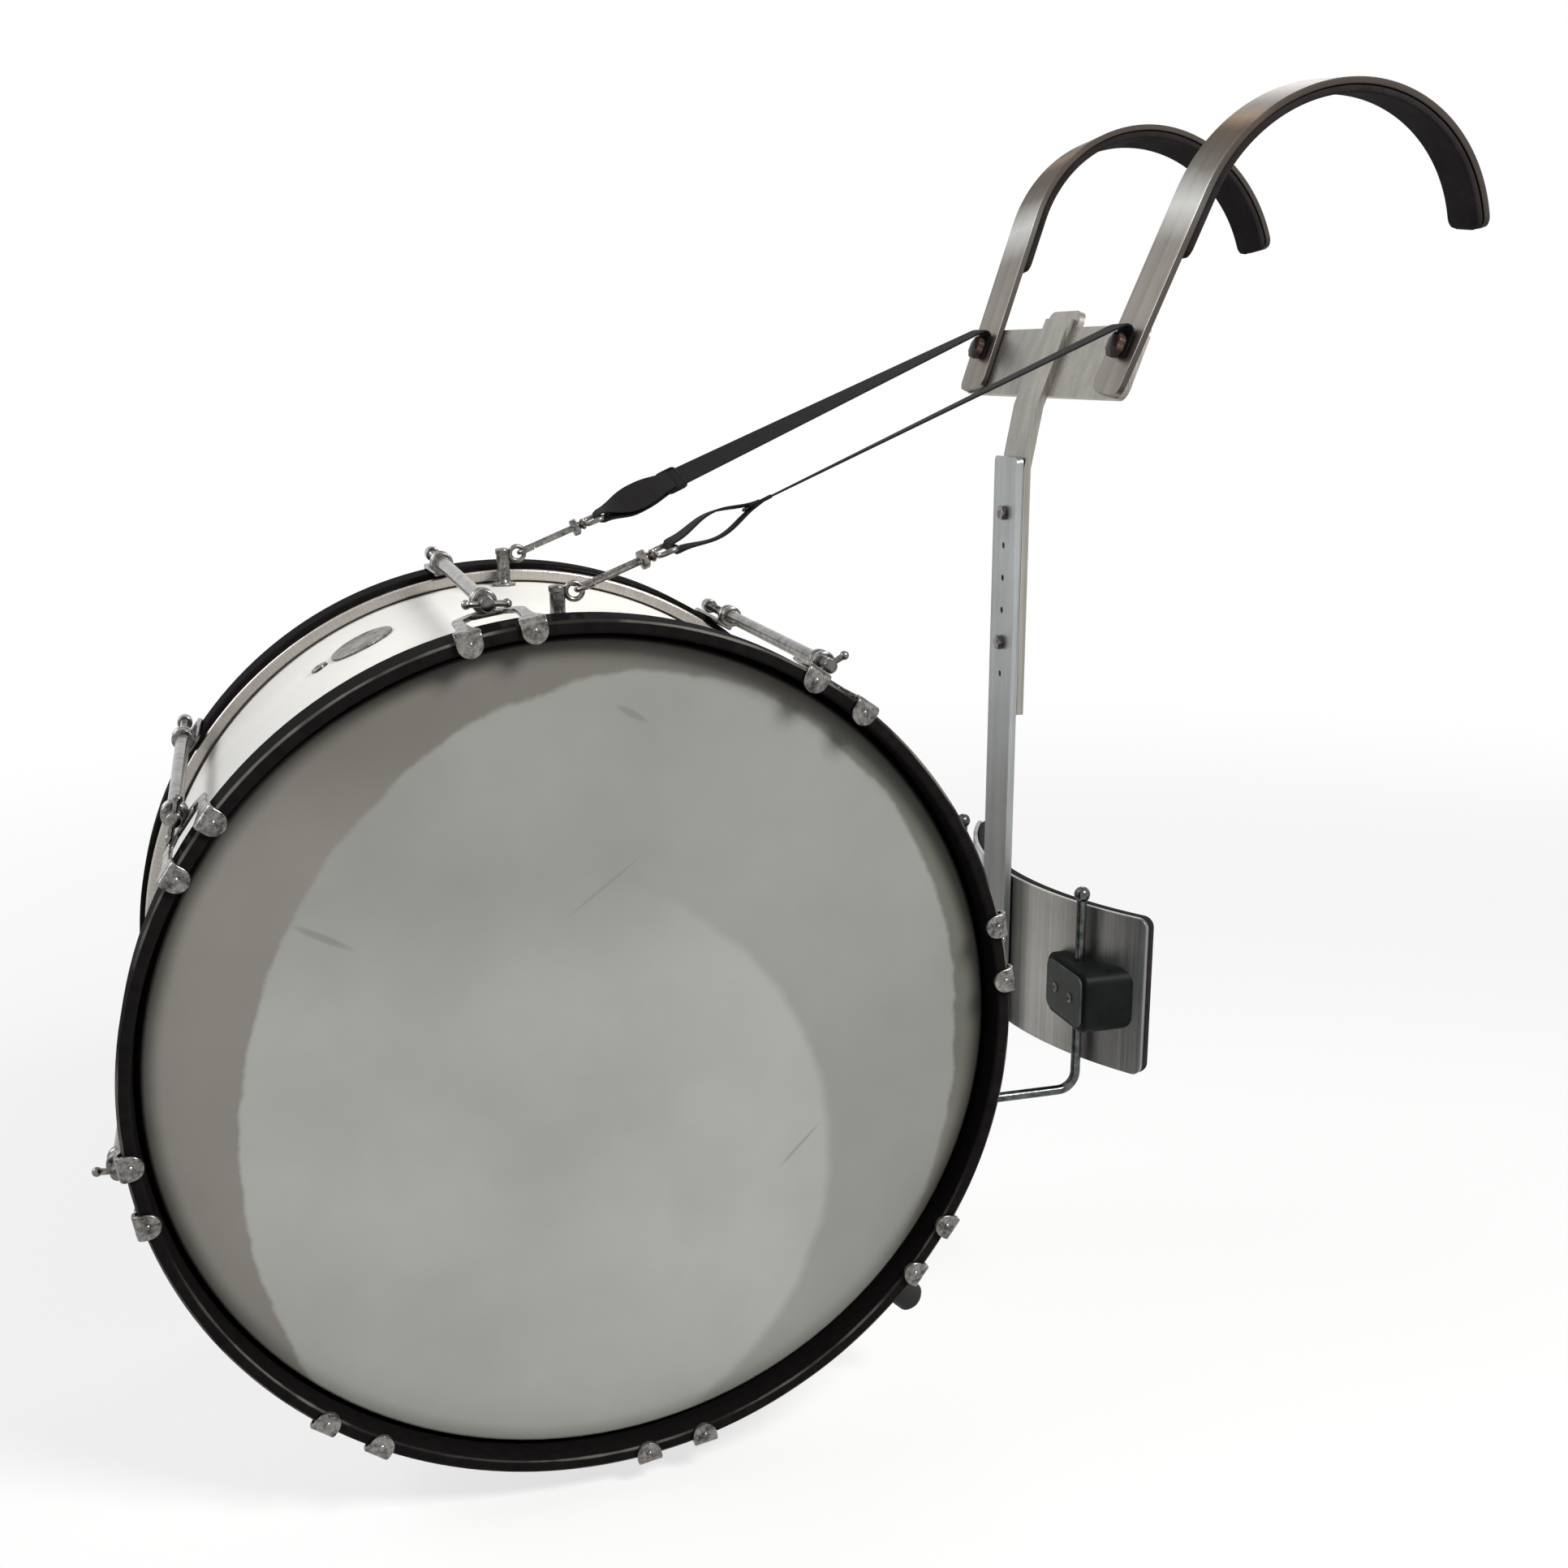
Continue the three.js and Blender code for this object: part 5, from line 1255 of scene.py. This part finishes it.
class DRUM_OT_arms(bpy.types.Operator):
    """Makes the two shoulder arms, their foam and the strap knobs"""

    bl_idname = "drum.arms"
    bl_label = "Shoulder arms"

    def execute(self, context):
        h, c = context.scene.hardware_sizes, context.scene.carrier_sizes
        for name, side in SIDES:
            y = side * h.strap_line
            line = arm_path(c, c.arm_metal / 2, -0.006)
            run = running(line)
            half = arm_half_width(c, line, 0) - end_round(run, 0.010)
            section = strip_section(half, c.arm_metal / 2, 0.0010, 3)
            arm = leaning_out(c, swept(line, section, Y, flat=True), side, y)
            piece(f"{name}_shoulder_arm", [arm], "arm", "root", [f"{name}_arm"])

            depth = c.arm_metal + GAP + c.pad_foam / 2
            line = arm_path(c, depth, c.arm_straight - c.pad_below + 0.0002)
            run = running(line)
            half = arm_half_width(c, line, 0.0006) - end_round(run, 0.009)
            shrink = end_round(run, 0.003)
            section = strip_section(half, c.pad_foam / 2 - shrink * 0.5, 0.0024, 5)
            pad = leaning_out(c, swept(line, section, Y, flat=True), side, y)
            made = piece(f"{name}_arm_foam", [pad], "foam", "root", [f"{name}_arm_pad"])

            out = unit(chest_point(c, 0, 1) - chest_point(c, 0, 0))
            rise = unit(chest_point(c, 1, 0) - chest_point(c, 0, 0))
            origin = chest_point(c, KNOB_UP, 0, y)
            turn = np.linspace(0, 2 * math.pi, 96, endpoint=False)
            lobes = ring(96) * (0.0100 - 0.0008 * (0.5 + 0.5 * np.cos(8 * turn)))[:, None]
            head = plate(lobes, 0.0026, 0.0092, 0.0012, flat_bend(origin, Y, rise, out),
                         inner=[0.15, 0.35, 0.6, 0.8, 1.0], crown=lambda q: 0.0012 * (1 - q**2))
            stem = turned([[0.0029, -0.0150], [0.0030, -0.0146], [0.0030, 0.0030]], origin, out, 20)
            body = f"{name}_strap_knob"
            piece(f"{name}_knob", [head, stem], "knob", body, [body])
            nut = hexagon(0.0060, -0.0146, -0.0106, origin, out)
            piece(f"{name}_knob_nut", [nut], "chrome", body)
        return {"FINISHED"}


def hexagon(radius, low, high, origin, axis):
    """A hexagon nut or bolt head: its outline's radius is flat / cos(angle from the flat's middle), held by a cone."""
    count, chamfer = 48, 0.0008
    turn = np.arange(count) * 2 * math.pi / count
    flat = radius * math.cos(math.pi / 6)
    out = flat / np.cos((turn + math.pi / 6) % (math.pi / 3) - math.pi / 6)
    held = np.minimum(out, flat * 1.02)
    radii = np.stack([held * 0.96, held, out, out, held, held * 0.96])
    heights = np.array([low, low + chamfer * 0.15, low + chamfer, high - chamfer, high - chamfer * 0.15, high])
    axis, outwards = spokes(axis, count)
    rings = radii[..., None] * outwards + heights[:, None, None] * axis + origin
    return loft(rings, origin + low * axis, origin + high * axis)


class DRUM_OT_spine(bpy.types.Operator):
    """Finishes the chest frame and the lower bar, and makes the adjusting bolts"""

    bl_idname = "drum.spine"
    bl_label = "Chest frame and spine"

    def execute(self, context):
        for name, finish in (("chest_frame", "chest"), ("lower_bar", "bar")):
            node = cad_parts[name]
            node.data.materials.clear()
            node.data.materials.append(finishes()[finish])
            weld = node.modifiers.new("Weld", "WELD")
            weld.merge_threshold = 0.00001
            bevel = node.modifiers.new("Worn edges", "BEVEL")
            bevel.width = 0.0006
            bevel.segments = 2
            bevel.limit_method = "ANGLE"
            bevel.angle_limit = math.radians(50)
            node.modifiers.new("Flat faces stay flat", "WEIGHTED_NORMAL")
        for index, z in enumerate(BOLT_HEIGHTS):
            origin = np.array([0, 0, z])
            parts = [
                hexagon(0.0065, 0.3872, 0.3912, origin, X),
                turned([[0.0029, 0.3880], [0.0029, 0.4095]], origin, X, 16),
                hexagon(0.0060, 0.4041, 0.4091, origin, X),
            ]
            solid = f"adjuster_bolt_{index + 1}"
            piece(f"adjuster_{index + 1}", parts, "chrome", "lower_carrier", [solid])
        return {"FINISHED"}


def belly_bend(c, outer):
    """A bend round the belly plate's own axis: u runs round it, v is the height, w goes in from its front."""
    centre = BELLY_FRONT + c.belly_radius

    def bend(u, v, w):
        u, v, w = np.broadcast_arrays(np.asarray(u, float), v, w)
        turn = u / c.belly_radius
        return np.stack([centre - (outer - w) * np.cos(turn), (outer - w) * np.sin(turn), v], -1)

    return bend


class DRUM_OT_belly(bpy.types.Operator):
    """Makes the belly plate and its foam"""

    bl_idname = "drum.belly"
    bl_label = "Belly plate"

    def execute(self, context):
        c = context.scene.carrier_sizes
        middle, half_up = (BELLY_LOW + BELLY_HIGH) / 2, (BELLY_HIGH - BELLY_LOW) / 2
        half = c.belly_radius * math.asin(BELLY_HALF / c.belly_radius)
        inner = np.linspace(0.05, 1.0, 20)
        outline = box_outline(half, half_up, 0.008, 6, 0.006) + [0, middle]
        sheet = plate(outline, 0, c.belly_metal, 0.0006, belly_bend(c, c.belly_radius), inner=inner)
        piece("belly_sheet", [sheet], "belly", "lower_carrier", ["belly_plate"])
        outer = c.belly_radius - c.belly_metal - GAP
        outline = box_outline(half + 0.0012, half_up + 0.0002, 0.009, 6, 0.006) + [0, middle]
        foam = plate(outline, 0, 0.008, 0.0028, belly_bend(c, outer), inner=inner, steps=5)
        made = piece("belly_foam", [foam], "foam", "lower_carrier", ["belly_pad"])
        return {"FINISHED"}


class DRUM_OT_clamps(bpy.types.Operator):
    """Makes the clamp blocks, the J-rods and their receivers"""

    bl_idname = "drum.clamps"
    bl_label = "Clamps and J-rods"

    def execute(self, context):
        c = context.scene.carrier_sizes
        centre = BELLY_FRONT + c.belly_radius
        outline = box_outline(0.036, 0.026, 0.012, 8, 0.004)
        turn, edge = np.linspace(0, math.pi / 2, 6), 0.003
        normals = outline_normals(outline) * edge
        inset = np.array([1, 1, *(1 - np.sin(turn))])[:, None, None]
        shares = np.array([0.3, 0.65, *np.ones(len(turn))])[:, None, None]
        rings = np.concatenate([(outline - normals * inset) * shares, [outline, outline * 0.5]])
        front = CLAMP_FRONT + edge * (1 - np.cos(np.concatenate([[0, 0], turn])))
        face_line = box_outline(0.031, 0.021, 0.0075, 8)
        head = rounded([[0.0040, 0.0005], [0.0040, 0.0011], [0.0026, 0.0016], [0.0021, 0.0008],
                        [0.0002, 0.0008]], 0.0002, 2, closed=False)
        arc = np.linspace(math.radians(4), math.radians(150), 12)
        ball = np.stack([0.0065 * np.sin(arc), ROD_TOP + 0.0065 * np.cos(arc)], 1)
        socket = rounded([[0.0044, 0.283], [0.0080, 0.283], [0.0080, 0.322], [0.0044, 0.322]],
                         [0, 0.0003, 0.0012, 0.0008], 4)
        for name, side in SIDES:
            y = side * c.rod_line
            across, height = rings[..., 0] + y, rings[..., 1] + CLAMP_HEIGHT
            behind = centre - np.sqrt((c.belly_radius + 0.0001) ** 2 - across[-2:] ** 2)
            depth = np.vstack([np.broadcast_to(front[:, None], across[:-2].shape), behind])
            middle = (CLAMP_FRONT, y, CLAMP_HEIGHT)
            pole = [centre - math.sqrt(c.belly_radius**2 - y**2), y, CLAMP_HEIGHT]
            body = loft(np.stack([depth, across, height], -1), middle, pole)
            piece(f"{name}_clamp_body", [body], "block", "lower_carrier", [f"{name}_clamp_block"])
            face = plate(face_line, -0.001, 0.002, 0.0007, flat_bend(middle, Y, Z, -X), inner=(0.3, 0.7, 1.0))
            piece(f"{name}_clamp_face", [face], "face", "lower_carrier")
            screws = [turned(head, (CLAMP_FRONT - 0.002, y + k * 0.013, CLAMP_HEIGHT), -X, 24) for k in (-1, 1)]
            piece(f"{name}_clamp_screws", screws, "chrome", "lower_carrier")

            corners = [[ROD_LINE, y, ROD_TOP], [ROD_LINE, y, ROD_FOOT], [ROD_END, y, ROD_FOOT]]
            line = evenly(rounded(corners, 0.015, 12, closed=False), 0.002)
            parts = [wire(line, c.j_rod, Y, 20), turned(ball, (ROD_LINE, y, 0), Z, 28)]
            piece(f"{name}_bent_rod", parts, "steel", "drum", [f"{name}_j_rod"])

            at = np.array([0, y, ROD_FOOT])
            tube = turned(socket, at, X, 32, closed=True)
            base = plate(box_outline(0.013, 0.015, 0.004, 6), 0.2795, 0.300, 0.0012, flat_bend(at, Y, Z, X))
            piece(f"{name}_receiver", [tube, base], "chrome", "drum", [f"{name}_rod_receiver"])
        return {"FINISHED"}


# The studio


class DRUM_OT_studio(bpy.types.Operator):
    """Sets up the floor, the lights, the world and the camera"""

    bl_idname = "drum.studio"
    bl_label = "Studio"

    def execute(self, context):
        scene = context.scene
        scene.view_settings.view_transform = "Standard"
        low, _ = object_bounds()
        floor_z = low[2] - 0.001
        mesh = bpy.data.meshes.new("floor")
        mesh.from_pydata([(x, y, floor_z) for x, y in ((-30, -30), (30, -30), (30, 30), (-30, 30))], [], [(0, 1, 2, 3)])
        floor = bpy.data.objects.new("floor", mesh)
        scene.collection.objects.link(floor)
        floor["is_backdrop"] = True
        mesh.materials.append(floor_material(scene.drum_colours))
        world = bpy.data.worlds.new("studio")
        scene.world = world
        world.use_nodes = True
        tree = world.node_tree
        tree.nodes.clear()
        plain = add_node(tree, "Background", {"Color": (0.93, 0.96, 1.0, 1), "Strength": 0.12}).outputs[0]
        white = add_node(tree, "Background", {"Color": (1, 1, 1, 1)}).outputs[0]
        mix = add_node(tree, "MixShader", {0: white_rays(tree), 1: plain, 2: white}).outputs[0]
        add_node(tree, "OutputWorld", {0: mix})
        for name, place, aim, size, power, tone in (
            ("key", (0.47, -1.71, 1.14), (-0.58, -0.18, -0.68), 0.8, 80, (1.0, 0.99, 0.97)),
            ("fill", (-2.6, 0.5, 0.9), (-0.6, 0.0, -0.5), 1.6, 34, (0.97, 0.98, 1.0)),
            ("rim", (1.2, 2.4, 1.4), (-0.3, 0.0, -0.3), 1.2, 22, (1.0, 1.0, 1.0)),
        ):
            data = bpy.data.lights.new(name, "AREA")
            data.shape = "DISK"
            data.size, data.energy, data.color = size, power, tone
            stand(scene, name, data, place, Vector(aim) - Vector(place))
        data = bpy.data.cameras.new("camera")
        data.lens, data.sensor_width = 40.7, 36
        scene.camera = stand(scene, "camera", data, (-0.8025, -1.3639, -0.1912), Vector((0.2845, 0.9305, -0.2309)))
        return {"FINISHED"}


def stand(scene, name, data, place, way):
    """A lamp or camera in its place, looking one way."""
    made = bpy.data.objects.new(name, data)
    scene.collection.objects.link(made)
    made.location = place
    made.rotation_euler = way.to_track_quat("-Z", "Y").to_euler()
    return made


def white_rays(tree):
    """1 for what the camera, a gloss or a clear piece sees, and 0 for the light that falls on things."""
    rays = add_node(tree, "LightPath").outputs
    seen = rays["Is Camera Ray"]
    for name in ("Is Glossy Ray", "Is Transmission Ray"):
        seen = add_node(tree, "Math", {0: seen, 1: rays[name]}, operation="MAXIMUM").outputs[0]
    return seen


def floor_material(colours):
    """A pale floor that keeps the shadow, and turns wholly white with distance from the object."""
    material = bpy.data.materials.new("studio_floor")
    material.use_nodes = True
    tree = material.node_tree
    tree.nodes.clear()
    place = add_node(tree, "TexCoord").outputs["Object"]
    far = add_node(tree, "VectorMath", {0: place}, operation="LENGTH").outputs["Value"]
    fade = {"Value": far, "From Min": 1.2, "From Max": 3.2, "To Min": 0.72, "To Max": 1.0}
    fade = add_node(tree, "MapRange", fade, interpolation_type="SMOOTHSTEP").outputs[0]
    share = add_node(tree, "Math", {0: white_rays(tree), 1: fade}, operation="MULTIPLY").outputs[0]
    matt = add_node(tree, "BsdfDiffuse", {"Color": colours.floor}).outputs[0]
    glow = add_node(tree, "Emission", {"Strength": 1.0}).outputs[0]
    mix = add_node(tree, "MixShader", {0: share, 1: matt, 2: glow}).outputs[0]
    add_node(tree, "OutputMaterial", {0: mix})
    return material


class DRUM_PT_parts(bpy.types.Panel):
    """Lists the drum's pieces"""

    bl_idname = "DRUM_PT_parts"
    bl_label = "Marching bass drum"
    bl_space_type = "VIEW_3D"
    bl_region_type = "UI"
    bl_category = "Drum"

    def draw(self, context):
        for step in STEPS:
            self.layout.operator(step.bl_idname)
        for name, kind in GROUPS.items():
            box = self.layout.box()
            for size in kind.__annotations__:
                box.prop(getattr(context.scene, name), size)


STEPS = (
    DRUM_OT_shell,
    DRUM_OT_heads,
    DRUM_OT_claws,
    DRUM_OT_rods,
    DRUM_OT_fittings,
    DRUM_OT_hooks,
    DRUM_OT_straps,
    DRUM_OT_arms,
    DRUM_OT_spine,
    DRUM_OT_belly,
    DRUM_OT_clamps,
    DRUM_OT_studio,
)
GROUPS = {
    "drum_sizes": DrumSizes,
    "hardware_sizes": HardwareSizes,
    "carrier_sizes": CarrierSizes,
    "drum_colours": Colours,
}


def register():
    for kind in (*GROUPS.values(), *STEPS, DRUM_PT_parts):
        bpy.utils.register_class(kind)
    for name, kind in GROUPS.items():
        setattr(bpy.types.Scene, name, bpy.props.PointerProperty(type=kind))


def unregister():
    for name in GROUPS:
        delattr(bpy.types.Scene, name)
    for kind in reversed((*GROUPS.values(), *STEPS, DRUM_PT_parts)):
        bpy.utils.unregister_class(kind)


def main():
    register()
    for step in STEPS:
        group, _, call = step.bl_idname.partition(".")
        getattr(getattr(bpy.ops, group), call)()


if __name__ == "__main__":
    main()
